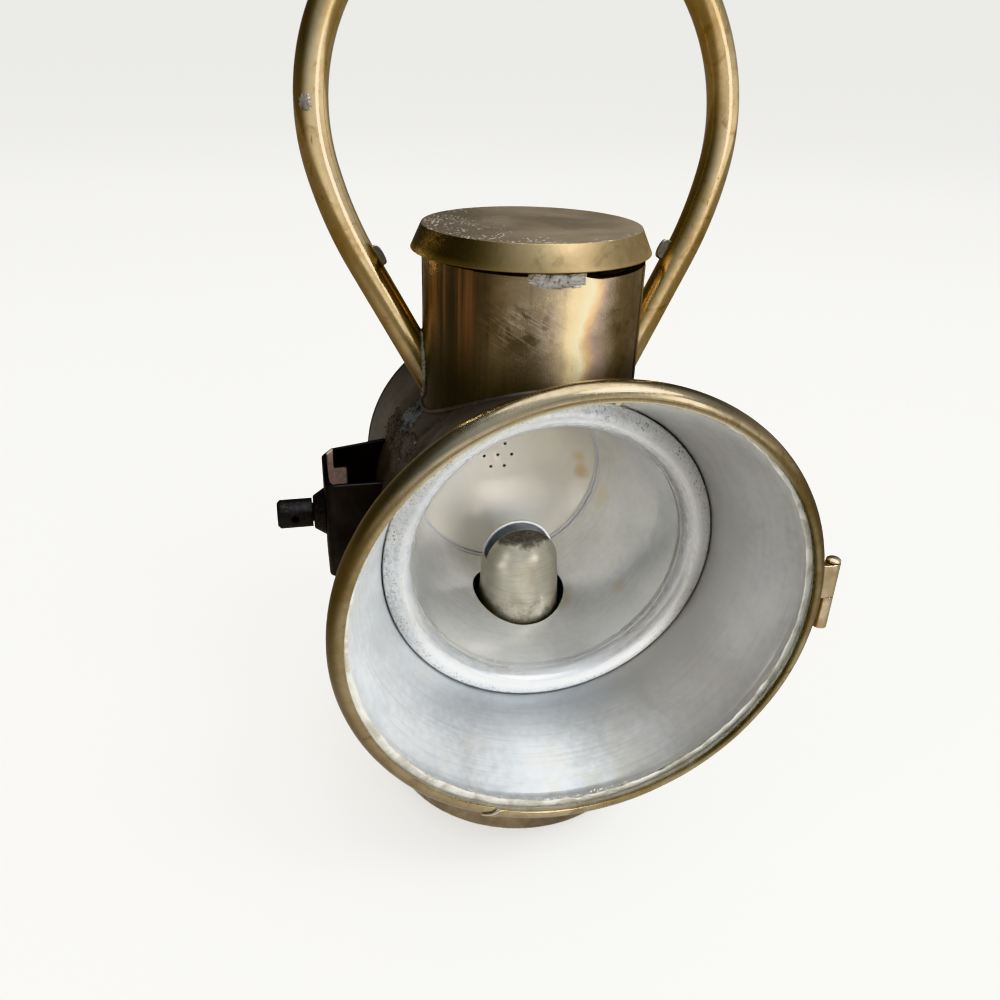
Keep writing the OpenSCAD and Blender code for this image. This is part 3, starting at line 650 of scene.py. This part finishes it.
def smooth(mesh, angle):
    mesh.shade_smooth()
    mesh.set_sharp_from_angle(angle=radians(angle))


def made(name, shape, angle=32):
    bmesh.ops.remove_doubles(shape, verts=shape.verts, dist=1e-7)
    bmesh.ops.recalc_face_normals(shape, faces=shape.faces)
    mesh = bpy.data.meshes.new(name)
    shape.to_mesh(mesh)
    shape.free()
    smooth(mesh, angle)
    return placed(name, mesh)


def settle(piece):  # turns what the modifiers give into a plain mesh
    bpy.context.view_layer.update()
    graph = bpy.context.evaluated_depsgraph_get()
    mesh = bpy.data.meshes.new_from_object(piece.evaluated_get(graph))
    piece.modifiers.clear()
    piece.data = mesh
    return piece


def cutAway(piece, *cutters, angle=None):
    for cutter in cutters:
        cut = piece.modifiers.new("cut", "BOOLEAN")
        cut.operation, cut.solver, cut.object = "DIFFERENCE", "EXACT", cutter
    settle(piece)
    for cutter in cutters:
        bpy.data.objects.remove(cutter)
    if angle:
        smooth(piece.data, angle)


def upright(name, radius, low, high):  # an upright cutter
    return made(name, turned([(0, low), (radius, low), (radius, high), (0, high)], 128, "Z"))


def fit(piece, body, slot, *stands, look=None):
    paint(piece, finishes[look or slot])
    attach(piece, body)
    if stands:
        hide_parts(*stands)


def ripple(x, y, z):  # steady noise between -1 and 1
    return noise.noise(Vector((x, y, z)))


def ringRipple(angle, reach, z):  # the same on a circle
    return ripple(cos(angle) * reach, sin(angle) * reach, z)


def clamped(value, low=0, high=1):
    return min(high, max(low, value))


def eased(value):
    value = clamped(value)
    return value * value * (3 - 2 * value)


# node trees that follow a path
def growTree(name, **inputs):
    tree = bpy.data.node_groups.new(name, "GeometryNodeTree")
    tree.interface.new_socket("Geometry", in_out="INPUT", socket_type="NodeSocketGeometry")
    for label, kind in dict(inputs, Finish="Material").items():
        tree.interface.new_socket(label.replace("_", " "), in_out="INPUT", socket_type="NodeSocket" + kind)
    tree.interface.new_socket("Geometry", in_out="OUTPUT", socket_type="NodeSocketGeometry")
    sheet = Sheet(tree)
    start = tree.nodes.new("NodeGroupInput")
    given = {socket.name: Tap(sheet, socket) for socket in start.outputs if socket.name}
    return sheet, given, sheet.geo("MeshToCurve", Mesh=given["Geometry"])


def endTree(sheet, shape, finish):
    even = sheet.geo("SetShadeSmooth", Geometry=sheet.geo("RealizeInstances", Geometry=shape))
    done = sheet.geo("SetMaterial", Geometry=even, Material=finish)
    sheet.node("NodeGroupOutput", None, {"Geometry": done})
    return sheet.tree


def beadTree():  # a round bar or bead along a path, with an uneven thickness
    sheet, given, path = growTree("beadAlongPath", Radius="Float", Sides="Int", Step="Float", Unevenness="Float",
                                  Lump_Size="Float")
    even = sheet.geo("ResampleCurve", dict(mode="LENGTH"), Curve=path, Length=given["Step"])
    lumps = sheet.node("ShaderNodeTexNoise", None, {"Scale": 1 / given["Lump Size"], "Detail": 2.0})
    grown = sheet.geo("SetCurveRadius", Curve=even, Radius=1 + (lumps - 0.5) * 2 * given["Unevenness"])
    ring = sheet.geo("CurvePrimitiveCircle", Resolution=given["Sides"], Radius=given["Radius"])
    bar = sheet.geo("CurveToMesh", Curve=grown, Profile_Curve=ring, Fill_Caps=True)
    return endTree(sheet, bar, given["Finish"])


def crumbTree():  # crumbs scattered along a path
    sheet, given, path = growTree("crumbsAlongPath", Spacing="Float", Spread="Float", Crumb_Size="Float", Seed="Int")
    spots = sheet.geo("CurveToPoints", dict(mode="LENGTH"), Curve=path, Length=given["Spacing"])

    def chance(low, high, offset):
        return sheet.node("FunctionNodeRandomValue", dict(data_type="FLOAT_VECTOR"),
                          {0: low, 1: high, "Seed": given["Seed"] + offset})

    drift = sheet.scaled(chance((-1, -1, -1), (1, 1, 1), 1), given["Spread"])
    loose = sheet.geo("SetPosition", Geometry=spots, Offset=drift)
    crumb = sheet.geo("MeshIcoSphere", Radius=given["Crumb Size"], Subdivisions=1)
    turn = chance((0, 0, 0), (6.28, 6.28, 6.28), 2)
    size = chance((0.3, 0.3, 0.3), (1.0, 1.0, 0.8), 3)
    many = sheet.geo("InstanceOnPoints", Points=loose, Instance=crumb, Rotation=turn, Scale=size)
    return endTree(sheet, many, given["Finish"])


def alongPath(name, points, tree, look, closed=False, **values):
    mesh = bpy.data.meshes.new(name)
    edges = [(i, i + 1) for i in range(len(points) - 1)] + ([(len(points) - 1, 0)] if closed else [])
    mesh.from_pydata([tuple(p) for p in points], edges, [])
    piece = placed(name, mesh)
    grow = piece.modifiers.new("grow", "NODES")
    grow.node_group = tree
    keys = {item.name: item.identifier for item in tree.interface.items_tree if item.in_out == "INPUT"}
    for label, value in dict(values, Finish=finishes[look]).items():
        grow[keys[label.replace("_", " ")]] = value
    return settle(piece)


beads, crumbs = beadTree(), crumbTree()


# handle
handleSpec = Spec(tube=6.35, archBend=81, archUp=116.4, footUp=180, lean=radians(9.5), legBend=150, legLength=63,
                  legStart=radians(14.5), legEnd=radians(28.5), neckRadius=43.55, neckLow=150, neckHigh=262,
                  grow=dict(Sides=40, Step=0.0025, Unevenness=0.0, Lump_Size=0.01))


def handlePoint(across, up):
    lean = handleSpec.lean
    return Vector((across, up * sin(lean), handleSpec.footUp + up * cos(lean))) * mm


def legSpot(reach, along=0, angle=handleSpec.legEnd):  # across and up, from the middle of a leg's bend
    s = handleSpec
    inset = s.archBend - s.legBend
    return (inset * cos(s.legStart) + reach * cos(angle) + along * sin(angle),
            s.archUp - inset * sin(s.legStart) - reach * sin(angle) + along * cos(angle))


def handleLine():  # from the left foot over the arch to the right foot
    s = handleSpec
    start, end = s.legStart, s.legEnd
    half = [legSpot(s.legBend, -s.legLength * (1 - t)) for t in spread(0, 1, 12)]  # straight part
    half += [legSpot(s.legBend, 0, a) for a in spread(end, start, 12)[1:]]
    half += [(s.archBend * cos(a), s.archUp + s.archBend * sin(a)) for a in spread(-start, pi / 2, 40)[1:]]
    return [handlePoint(-x, z) for x, z in half] + [handlePoint(x, z) for x, z in half[-2::-1]]


def makeHandle():
    s = handleSpec
    tube = alongPath("handleTube", handleLine(), beads, "handle_brass", Radius=s.tube * mm, **s.grow)
    cutAway(tube, upright("neckCutter", s.neckRadius, s.neckLow, s.neckHigh))
    fit(tube, "lantern", "handle_brass", "handle")


makeHandle()


# lugs inside the legs, half-round tabs
lugSpec = Spec(down=0.5, half=4.2, out={-1: 2.2, 1: 3.3}, thick=2.4, sunk=2.0, bulge=0.45,
               layers=((-0.5, 0.35), (-0.32, 0.0), (0.32, 0.0), (0.5, 0.35)))


def makeLugs():
    s, h = lugSpec, handleSpec
    shape = bmesh.new()
    back = Vector((0, cos(h.lean), -sin(h.lean)))
    for side in (-1, 1):
        ring = [(-cos(a) * s.half, s.out[side] * sin(a) ** s.bulge) for a in spread(0, pi, 16)]
        ring += [(s.half, -s.sunk), (-s.half, -s.sunk)]
        layers = []
        for depth, inset in s.layers:
            layer = []
            for along, out in ring:
                out -= inset if out > 0 else 0
                x, z = legSpot(h.legBend - h.tube - out, along * (1 - inset / s.half) - s.down)
                layer.append(handlePoint(side * x, z) + back * depth * s.thick * mm)
            layers.append(layer)
        bridged(layers, shape=shape)
    fit(made("lugTabs", shape, 40), "lantern", "handle_brass", "handle_lugs", look="lug_brass")


makeLugs()
print("handle made")


# drum and bell
axisUp = axisZ / mm
shellOutline = [(62.2, -62.3), (64, 1), (68.8, 50), (87.4, 89.6), (87.4, 92.6)]
shellSpec = Spec(flue=42.5, burner=30, low=20, high=300, wave=0.12, fade=6, plain=4,
                 dimple=Spec(angle=87.5, along=83, wide=4, deep=3.5, depth=0.9))
dentSpec = [  # angle, distance along, length round, length along, depth, turn
    (129, 34, 9, 2.6, 0.75, 25), (134, 26, 7, 2.0, 0.65, -20), (124, 24, 6, 2.2, 0.6, 40), (141, 38, 8, 2.6, 0.7, 10),
    (147, -8, 10, 5.0, 0.5, 0), (158, 20, 8, 6.0, 0.5, 30), (112, 44, 9, 2.5, 0.3, 5), (250, 20, 14, 9.0, 0.5, 0),
    (30, 30, 10, 7.0, 0.45, 15), (75, -40, 9, 6.0, 0.4, -10), (200, -30, 12, 8.0, 0.4, 0),
]


def shellRadius(along):
    for (r0, h0), (r1, h1) in zip(shellOutline, shellOutline[1:]):
        if along <= h1:
            return r0 + (r1 - r0) * (along - h0) / (h1 - h0)
    return shellOutline[-1][0]


def shellCutter():
    solid = [(0, shellOutline[0][1])] + [(r - 0.4, h) for r, h in shellOutline] + [(0, shellOutline[-1][1])]
    return made("shellCutter", turned(solid))


def dented(radius, angle, along):
    turn = degrees(angle) % 360
    drop = shellSpec.wave * ringRipple(angle, 2.2, along / 24)
    for middle, place, wide, deep, depth, tilt in dentSpec:
        u = radians((turn - middle + 180) % 360 - 180) * radius
        v = along - place
        c, s = cos(radians(tilt)), sin(radians(tilt))
        u, v = u * c + v * s, v * c - u * s
        drop -= depth * exp(-(u / wide) ** 2 - (v / deep) ** 2)
    return drop


def makeShell(name, low, high, step, lip, node, look):
    s, d = shellSpec, shellSpec.dimple
    rows = spread(low, high, ceil((high - low) / step)) + [h for _, h in shellOutline if low < h < high]
    rows = sorted(set(rows))
    outer = [(shellRadius(h), h) for h in rows]
    edge = outer[-1][0]
    section = outer[:-1] + [(edge, high - lip), (edge - lip, high), (edge - 1 + lip, high)]
    section += [(r - 1, h) for r, h in outer[-2::-1]]

    def shift(radius, angle, along):
        fade = min(1, max(0, (along - low) / s.fade), max(0, (high - s.plain - along) / s.fade))
        if radius > shellRadius(along) - 0.5:  # outside
            return radius + dented(radius, angle, along) * fade, angle, along
        turn = (degrees(angle) - d.angle) / d.wide
        return radius - d.depth * exp(-turn ** 2 - ((along - d.along) / d.deep) ** 2), angle, along

    piece = made(name, turned(section, 300, shift=shift))
    cutAway(piece, upright("flueCutter", s.flue, axisUp, s.high),
            upright("burnerCutter", s.burner, s.low, axisUp), angle=32)
    fit(piece, "lantern", "bronzed_brass", node, look=look)


makeShell("bellShell", 1.0, 92.6, 2.0, 0.3, "bell", "bell_sheet")
makeShell("drumShell", -62.3, 1.0, 2.5, 0.05, "drum", "bronzed_brass")
print("drum and bell made")


# reflector bowl, whose lip runs into the rolled ring
bowlSpec = Spec(seam=(44.8, -31), lip=(55.65, 47.0), sheet=0.9, burner=21.2, smoke=27)
rollSpec = Spec(marks=[(55.25, 44.2), (56.3, 54.2), (61.0, 56.0), (67.5, 49.6)], sheet=0.9)


def makeBowl():
    s = bowlSpec
    inner = list(zip(*(spread(a, b, 12) for a, b in zip(s.seam, s.lip))))
    bowl = made("bowlShell", turned(inner + [(r + s.sheet, h) for r, h in reversed(inner)]))
    cutAway(bowl, upright("burnerCutter", s.burner, shellSpec.low, axisUp),
            upright("smokeCutter", s.smoke, axisUp, shellSpec.high), angle=40)
    fit(bowl, "lantern", "tinned_sheet", "reflector_bowl")


def makeRoll():
    s = rollSpec
    top = []
    for t in spread(0, 1, 28):  # a soft shoulder that leaves the bowl without a crease
        shares = ((1 - t) ** 3, 3 * t * (1 - t) ** 2, 3 * t * t * (1 - t), t ** 3)
        top.append(tuple(sum(k * mark[j] for k, mark in zip(shares, s.marks)) for j in (0, 1)))
    loop = top + [(r, h - s.sheet) for r, h in reversed(top)]
    fit(made("throatRoll", turned(loop, 300), 60), "lantern", "tinned_sheet", "throat_ring", look="pitted_tin")


makeBowl()
makeRoll()
print("bowl made")


# door rim, split at the bottom
rimSpec = Spec(middle=(85.8, 95.0), outer=5.0, inner=3.8, window=85.0, back=88.3, split=-112, gap=1.2, reach=88,
               sway=0.18, lift=0.12, torn=2.5, slack=9)


def makeRim():
    s = rimSpec
    r0, h0 = s.middle

    def arc(size, edge):
        return acos((s[edge] - r0) / s[size])

    loop = []
    for size, first, final in (("outer", arc("outer", "window"), -arc("outer", "back")),
                               ("inner", -arc("inner", "back"), arc("inner", "window"))):
        loop += [(r0 + s[size] * cos(a), h0 + s[size] * sin(a)) for a in spread(first, final, 24)]
    half = degrees(s.gap / 2 / s.reach)

    def shift(radius, angle, along):
        turn = degrees(angle) - s.split  # 0 to 360 round from the split
        sway, lift = s.sway * ringRipple(angle, 3, 4.0), s.lift * ringRipple(angle, 5, 9.0)
        torn = max(0, 1 - turn / s.torn) * max(0, (along - h0) / s.outer)  # curls forwards and outwards
        slack = max(0, 1 - (360 - turn) / s.slack)
        return radius + sway + torn * 1.1 - slack * 0.5, angle, along + lift + torn * 0.5 - slack * 0.2

    start, sweep = radians(s.split + half), radians(360 - 2 * half)
    rim = made("doorRim", turned(softened(loop, 0.35, 3), 420, "Y", start, sweep, shift), 50)
    fit(rim, "door", "rim_brass", "door_bezel")


makeRim()


# pointed nib under the rim's top, and the torn strip at its split
nibSpec = Spec(angle=88.0, along=98.2, reach=86.6, base=2.5, drop=3.6, flat=0.7)
hookSpec = Spec(marks=[(-110.9, 100), (-112.4, 62), (-114.0, 34)], proud=0.15,
                grow=dict(Radius=0.55 * mm, Sides=10, Step=0.0004, Unevenness=0.5, Lump_Size=0.002))


def makeNib():
    s = nibSpec
    rings = []
    for t in (i / 8.4 for i in range(9)):
        wide = s.base * (1 - t ** 1.5) ** 0.8
        rings.append([spotAt(s.reach - s.drop * t, radians(s.angle) + wide * cos(b) / s.reach,
                             s.along + wide * s.flat * sin(b)) for b in circle(32)])
    fit(made("nibPoint", bridged(rings), 50), "door", "rim_brass", "door_nib")


def makeHook():
    r0, h0 = rimSpec.middle
    size = rimSpec.outer + hookSpec.proud
    line = []
    for t in spread(0, 1, 12):
        turn, swing = (radians(a * (1 - t) ** 2 + b * 2 * t * (1 - t) + c * t * t)
                       for a, b, c in zip(*hookSpec.marks))
        line.append(spotAt(r0 + size * cos(swing), turn, h0 + size * sin(swing)))
    fit(alongPath("tornStrip", line, beads, "bare_metal", **hookSpec.grow), "door", "rim_brass", look="bare_metal")


makeNib()
makeHook()


# putty behind the glass, with crumbs
puttySpec = Spec(outer=86.7, inner=83.6, front=95.45, depth=1.6, thickest=radians(30))
crumbSpec = Spec(reach=84.3, sunk=1.1, start=150, step=1.2, count=115,
                 grow=dict(Spacing=0.0011, Spread=0.0007, Crumb_Size=0.0007, Seed=4))


def makePutty():
    s, c = puttySpec, crumbSpec
    back = s.front - s.depth
    section = softened([(s.inner, s.front), (s.outer, s.front), (s.outer, back),
                        (s.outer - 1.4, back), (s.inner + 1.0, s.front - s.depth * 0.6)], 0.5, 3)

    def shift(radius, angle, along):
        share = (s.outer - radius) / (s.outer - s.inner)
        ragged = ringRipple(angle, 14, 1) + 0.6 * ringRipple(angle, 46, 5)
        left = max(0, -cos(angle - s.thickest))  # thickest at the left and the lower left
        return radius - share * (ragged * 0.55 + left * 0.8 - 0.3), angle, along - (0.12 * ragged if share > 0.2 else 0)

    fit(made("puttyBead", turned(section, 420, shift=shift), 60), "door", "old_putty", "door_putty")
    turns = [radians(c.start + i * c.step) for i in range(c.count)]
    line = [spotAt(c.reach, turn, s.front - c.sunk) for turn in turns]
    fit(alongPath("puttyCrumbs", line, crumbs, "old_putty", **c.grow), "door", "old_putty")


makePutty()
print("door made")


# cap with a rounded edge, crooked: it rests on its back edge
capSpec = Spec(flat=42.5, edge=46.8, top=256.5, drop=9.3, sheet=1.0, lift=1.7, aside=-1.2, sway=0.14, sag=0.05)


def makeCap():
    s = capSpec
    top, low, under = s.top, s.top - s.drop, s.top - s.sheet
    loop = softened([(0.01, top), (20, top - 0.02), (s.flat, top), (s.edge, low), (s.edge - s.sheet, low),
                     (s.flat - 0.5, under), (0.01, under)], 0.45, 4)

    def shift(radius, angle, along):
        sway = s.sway * ringRipple(angle, 2.5, 2) * max(0, (radius - 40) / 6)
        sag = s.sag * ringRipple(angle, radius / 16, 7) * clamped((41 - radius) / 8)
        raised = s.lift * (0.5 + radius * cos(angle) / s.edge / 2)
        return radius + sway + s.aside * sin(angle) * min(1, radius / 20), angle, along + min(0, sag) + raised

    fit(made("capShell", turned(loop, 240, "Z", shift=shift), 40), "cap", "cap_brass", "cap")


makeCap()
print("cap made")


# neck, with a dip in its top edge at the right
neckSpec = Spec(outer=43.5, inner=42.5, low=178, top=247, dip=1.7, dipFrom=6, dipTo=84, dipLow=232, sway=0.2)


def makeNeck():
    s = neckSpec
    rows = spread(s.low, s.top, 28)
    section = [(s.outer, h) for h in rows] + [(s.inner, h) for h in reversed(rows)]

    def shift(radius, angle, along):
        turn = degrees(angle) if angle < pi else degrees(angle) - 360
        dip = s.dip * eased((turn - s.dipFrom) / 14) * eased((s.dipTo - turn) / 20)
        sway = s.sway * ripple(sin(angle) * 2.4, cos(angle) * 2.4, along / 17)
        fade = clamped((s.top - along) / 8) if radius > s.outer - 0.5 else 0
        return radius + sway * fade, angle, along - dip * max(0, (along - s.dipLow) / 15)

    neck = made("neckTube", turned(section, 240, "Z", shift=shift))
    cutAway(neck, shellCutter(), angle=32)
    fit(neck, "lantern", "neck_brass", "neck")


makeNeck()


# seam and solder on the neck, and the bead at its foot
blobSpec = Spec(steps=30, sunk=1.2, lowest=-0.8, lumps=0.4)
seamSpec = Spec(turn=57.5, wide=4.2, low=193, high=245.2, proud=0.35, sunk=0.4)
patchSpec = Spec(turn=-3, wide=14, up=245.3, high=2.6)
neckBeadSpec = Spec(Radius=0.0011, Sides=12, Step=0.0012, Unevenness=0.35, Lump_Size=0.006)


def blob(name, where, lift, ragged, seed):  # an uneven patch, thick in the middle and sunk at its edge
    steps = blobSpec.steps
    marks = spread(-1, 1, steps)
    shape = bmesh.new()

    def rise(u, v):
        edge = 1 - hypot(u, v) + ragged * ripple(u * 3, v * 3, seed)
        return lift * (clamped(edge * 3, blobSpec.lowest) + blobSpec.lumps * ripple(u * 6, v * 6, seed + 5))

    rims = []
    for top in (False, True):
        spots = [[where(u, v, rise(u, v) if top else -blobSpec.sunk) for v in marks] for u in marks]
        grid = [[shape.verts.new(spot) for spot in row] for row in spots]
        for one, two in zip(grid, grid[1:]):
            for j in range(steps):
                shape.faces.new((one[j], two[j], two[j + 1], one[j + 1]))
        last = [row[-1] for row in grid]
        rims.append([row[0] for row in grid[:-1]] + grid[-1][:-1] + last[:0:-1] + grid[0][:0:-1])
    low, high = rims
    for k in range(len(low)):
        n = (k + 1) % len(low)
        shape.faces.new((low[k], low[n], high[n], high[k]))
    return made(name, shape, 60)


def makeSeams():
    s, p = seamSpec, patchSpec
    reach = neckSpec.outer
    inner, outer = reach - s.sunk, reach + s.proud
    section = softened([(inner, s.low), (outer, s.low), (outer, s.high), (inner, s.high)], 0.3)
    strip = turned(section, 12, "Z", radians(s.turn), s.wide / reach)
    fit(made("neckSeam", strip), "lantern", "neck_brass")

    def onNeck(u, v, out):
        return spotAt(reach + out, radians(p.turn + p.wide * u), p.up + p.high * v, "Z")

    fit(blob("neckSolder", onNeck, 0.3, 0.35, 3), "lantern", "tinned_sheet", look="bright_solder")
    saddle = []
    for a in circle(160):
        x, y = reach * sin(a), -reach * cos(a)
        saddle.append(Vector((x, y, axisUp + sqrt(shellRadius(-y) ** 2 - x * x))) * mm)
    fit(alongPath("neckBead", saddle, beads, "bronzed_brass", True, **neckBeadSpec), "lantern", "bronzed_brass")


makeSeams()


# solder round the handle's feet
footSpec = Spec(Radius=0.0012, Sides=12, Step=0.0012, Unevenness=0.5, Lump_Size=0.005)


def makeFootSolder():
    for side, label in ((-1, "Left"), (1, "Right")):
        top, low = (handlePoint(side * x, z) for x, z in (legSpot(handleSpec.legBend, d) for d in (0, -1)))
        ahead = (low - top).normalized()
        across = ahead.cross(Vector((0, 1, 0))).normalized()
        other = ahead.cross(across)
        ring = []
        for a in circle(48):
            spot = top + (across * cos(a) + other * sin(a)) * handleSpec.tube * mm
            near, far = 0.0, 0.09
            for _ in range(40):  # how far down the leg this line meets the neck
                middle = (near + far) / 2
                at = spot + ahead * middle
                near, far = (middle, far) if hypot(at.x, at.y) > neckSpec.outer * mm else (near, middle)
            ring.append(spot + ahead * near)
        bead = alongPath("footSolder" + label, ring, beads, "solder", True, **footSpec)
        fit(bead, "lantern", "tinned_sheet", look="solder")


makeFootSolder()


# lumpy solder that ran from the left foot over the drum
smearSpec = [  # name, angle, distance along, half width in degrees, half length, lift, slot, finish
    ("footSmear", 140, -4, 8, 10, 0.7, "tinned_sheet", "dark_solder"),
    ("drumLumpA", 149, -15, 6, 12, 1.5, "bronzed_brass", None),
    ("drumLumpB", 147.5, 5, 5, 10, 1.3, "bronzed_brass", None),
    ("drumLumpC", 143.5, 20, 4.5, 11, 1.0, "bronzed_brass", None),
    ("drumLumpD", 151.5, 14, 4.5, 9, 1.1, "bronzed_brass", None),
]


def makeSmear():
    for seed, (name, turn, along, wide, deep, lift, slot, look) in enumerate(smearSpec, 11):
        def onDrum(u, v, out):  # a point on the dented drum or bell
            angle, h = radians(turn + wide * u), along + deep * v
            reach = shellRadius(h)
            return spotAt(reach + dented(reach, angle, h) + out, angle, h)

        fit(blob(name, onDrum, lift, 0.6, seed), "lantern", slot, look=look)


makeSmear()


# thin seams round the dish
dishSpec = Spec(seams=dict(Inner=(44.7, -30.8, 0.8), Outer=(45.2, -28.2, 0.6)),  # reach, distance along, thickness
                grow=dict(Sides=12, Step=0.0015, Unevenness=0.15, Lump_Size=0.01))


def makeDishSeam():
    for label, (reach, along, thick) in dishSpec.seams.items():
        line = [spotAt(reach, a, along) for a in circle(160)]
        seam = alongPath("dishSeam" + label, line, beads, "tinned_sheet", True, Radius=thick * mm, **dishSpec.grow)
        fit(seam, "lantern", "tinned_sheet")


makeDishSeam()
print("seams and solder made")


# bracket socket with soft edges and a lower front wall
socketSpec = Spec(out=86, inward=40, core=70, middle=5, wide=30, high=49, sheet=2, bend=4.5, drop=5.5, rise=4.0,
                  slope=8.0, soft=0.4, screw=3.6, screwDeep=12, body=61.5, low=20, top=220)


def makeSocket():
    s = socketSpec
    half = s.wide / 2
    near, far = s.middle - half, s.middle + half
    plan = []
    for inset in (0, s.sheet):
        corners = [(-s.inward, near + inset), (inset - s.out, near + inset), (inset - s.out, far - inset),
                   (-s.inward, far - inset)]
        corners = corners[::-1] if inset else corners
        plan += [corners[0]] + softened(corners, s.bend - inset, 8)[9:27] + [corners[3]]
    low, high = axisUp - s.high / 2, axisUp + s.high / 2
    layers = []
    for height, inset in ((low, s.soft), (low + s.soft, 0), (high - s.soft, 0), (high, s.soft)):
        layer = []
        for i, (x, y) in enumerate(plan):
            side = 1 if i < len(plan) / 2 else -1  # outer face inwards, inner face outwards
            across, ahead = x + s.core, y - s.middle
            end = abs(across) > half - 0.01 and abs(ahead) < half - 3
            step = Vector((across, 0) if end else (0, ahead)).normalized() * inset * side
            rise = s.rise - s.slope * eased((-x - 73) / 13)
            fall = s.drop * eased((near + 6 - y) / 4) - rise * eased((y - near - 14) / 10) if height > axisUp else 0
            layer.append(Vector((x - step.x, y - step.y, height - fall)) * mm)
        layers.append(layer)
    socket = made("socketShell", bridged(layers))
    rod = bmesh.new()
    spot = Matrix.Translation((-s.out * mm, s.middle * mm, axisZ)) @ Matrix.Rotation(pi / 2, 4, "Y")
    bmesh.ops.create_cone(rod, cap_ends=True, segments=48, radius1=s.screw * mm, radius2=s.screw * mm,
                          depth=s.screwDeep * mm, matrix=spot)
    body = upright("bodyCutter", s.body, s.low, s.top)
    cutAway(socket, shellCutter(), made("rodCutter", rod), body, angle=35)
    fit(socket, "lantern", "bronzed_brass", "bracket_socket", look="socket_sheet")


makeSocket()


# solder spot on the left leg
spotSpec = Spec(middle=(-82.4, 19.7, 297.2), facing=(-0.35, -0.9, 0.15), wide=2.4, high=2.9)


def makeLegSpot():
    s, tube = spotSpec, handleSpec.tube
    path = handleLine()
    at = min(range(1, len(path) - 1), key=lambda i: (path[i] - Vector(s.middle) * mm).length)
    ahead = (path[at + 1] - path[at - 1]).normalized()
    out = Vector(s.facing)
    out = (out - ahead * out.dot(ahead)).normalized()
    side = ahead.cross(out)

    def onLeg(u, v, rise):
        a = v * s.wide / tube
        return path[at] + ahead * u * s.high * mm + (out * cos(a) + side * sin(a)) * (tube + rise) * mm

    fit(blob("legSolder", onLeg, 0.3, 0.4, 8), "lantern", "tinned_sheet", look="solder")


makeLegSpot()
print("socket and spots made")


# hinge pin with a round head
pinSpec = Spec(spot=(95.5, -92.6), low=122.85, rod=1.3, neck=151.45, head=2.85, rise=1.75, edge=0.3)


def makePin():
    s = pinSpec
    dome = [(s.head * cos(a), s.neck + s.rise * (0.2 + 0.8 * sin(a)))
            for a in spread(0, pi / 2, 12)[:-1]]
    section = [(0.01, s.low), (s.rod, s.low), (s.rod, s.neck), (s.head - s.edge, s.neck)] + dome
    shape = turned(section + [(0.01, s.neck + s.rise)], 40, "Z")
    bmesh.ops.translate(shape, verts=shape.verts, vec=Vector((*s.spot, 0)) * mm)
    fit(made("pinRound", shape, 45), "lantern", "rim_brass", "hinge_pin", look="hinge_brass")


makePin()


# softer edges on the plain pieces
edgeSpec = Spec(door_knuckle=0.6, bell_knuckle=0.6, clamp_boss=0.5, clamp_screw=0.5, clamp_pad=0.4, wick_knob=0.4,
                drum_back=0.8, body_can=0.3, font_can=0.5, cap_collar=0.2, rear_dish=0.15, burner_dome=0.12)
for name, width in edgeSpec.items():
    weld = nodes[name].modifiers.new("weld", "WELD")
    weld.merge_threshold = 1e-6
    flat = nodes[name].modifiers.new("flat", "DECIMATE")
    flat.decimate_type, flat.angle_limit = "DISSOLVE", radians(0.8)
    soft = nodes[name].modifiers.new("soft", "BEVEL")
    soft.width, soft.segments, soft.limit_method, soft.angle_limit = width * mm, 3, "ANGLE", radians(40)
print("edges softened")
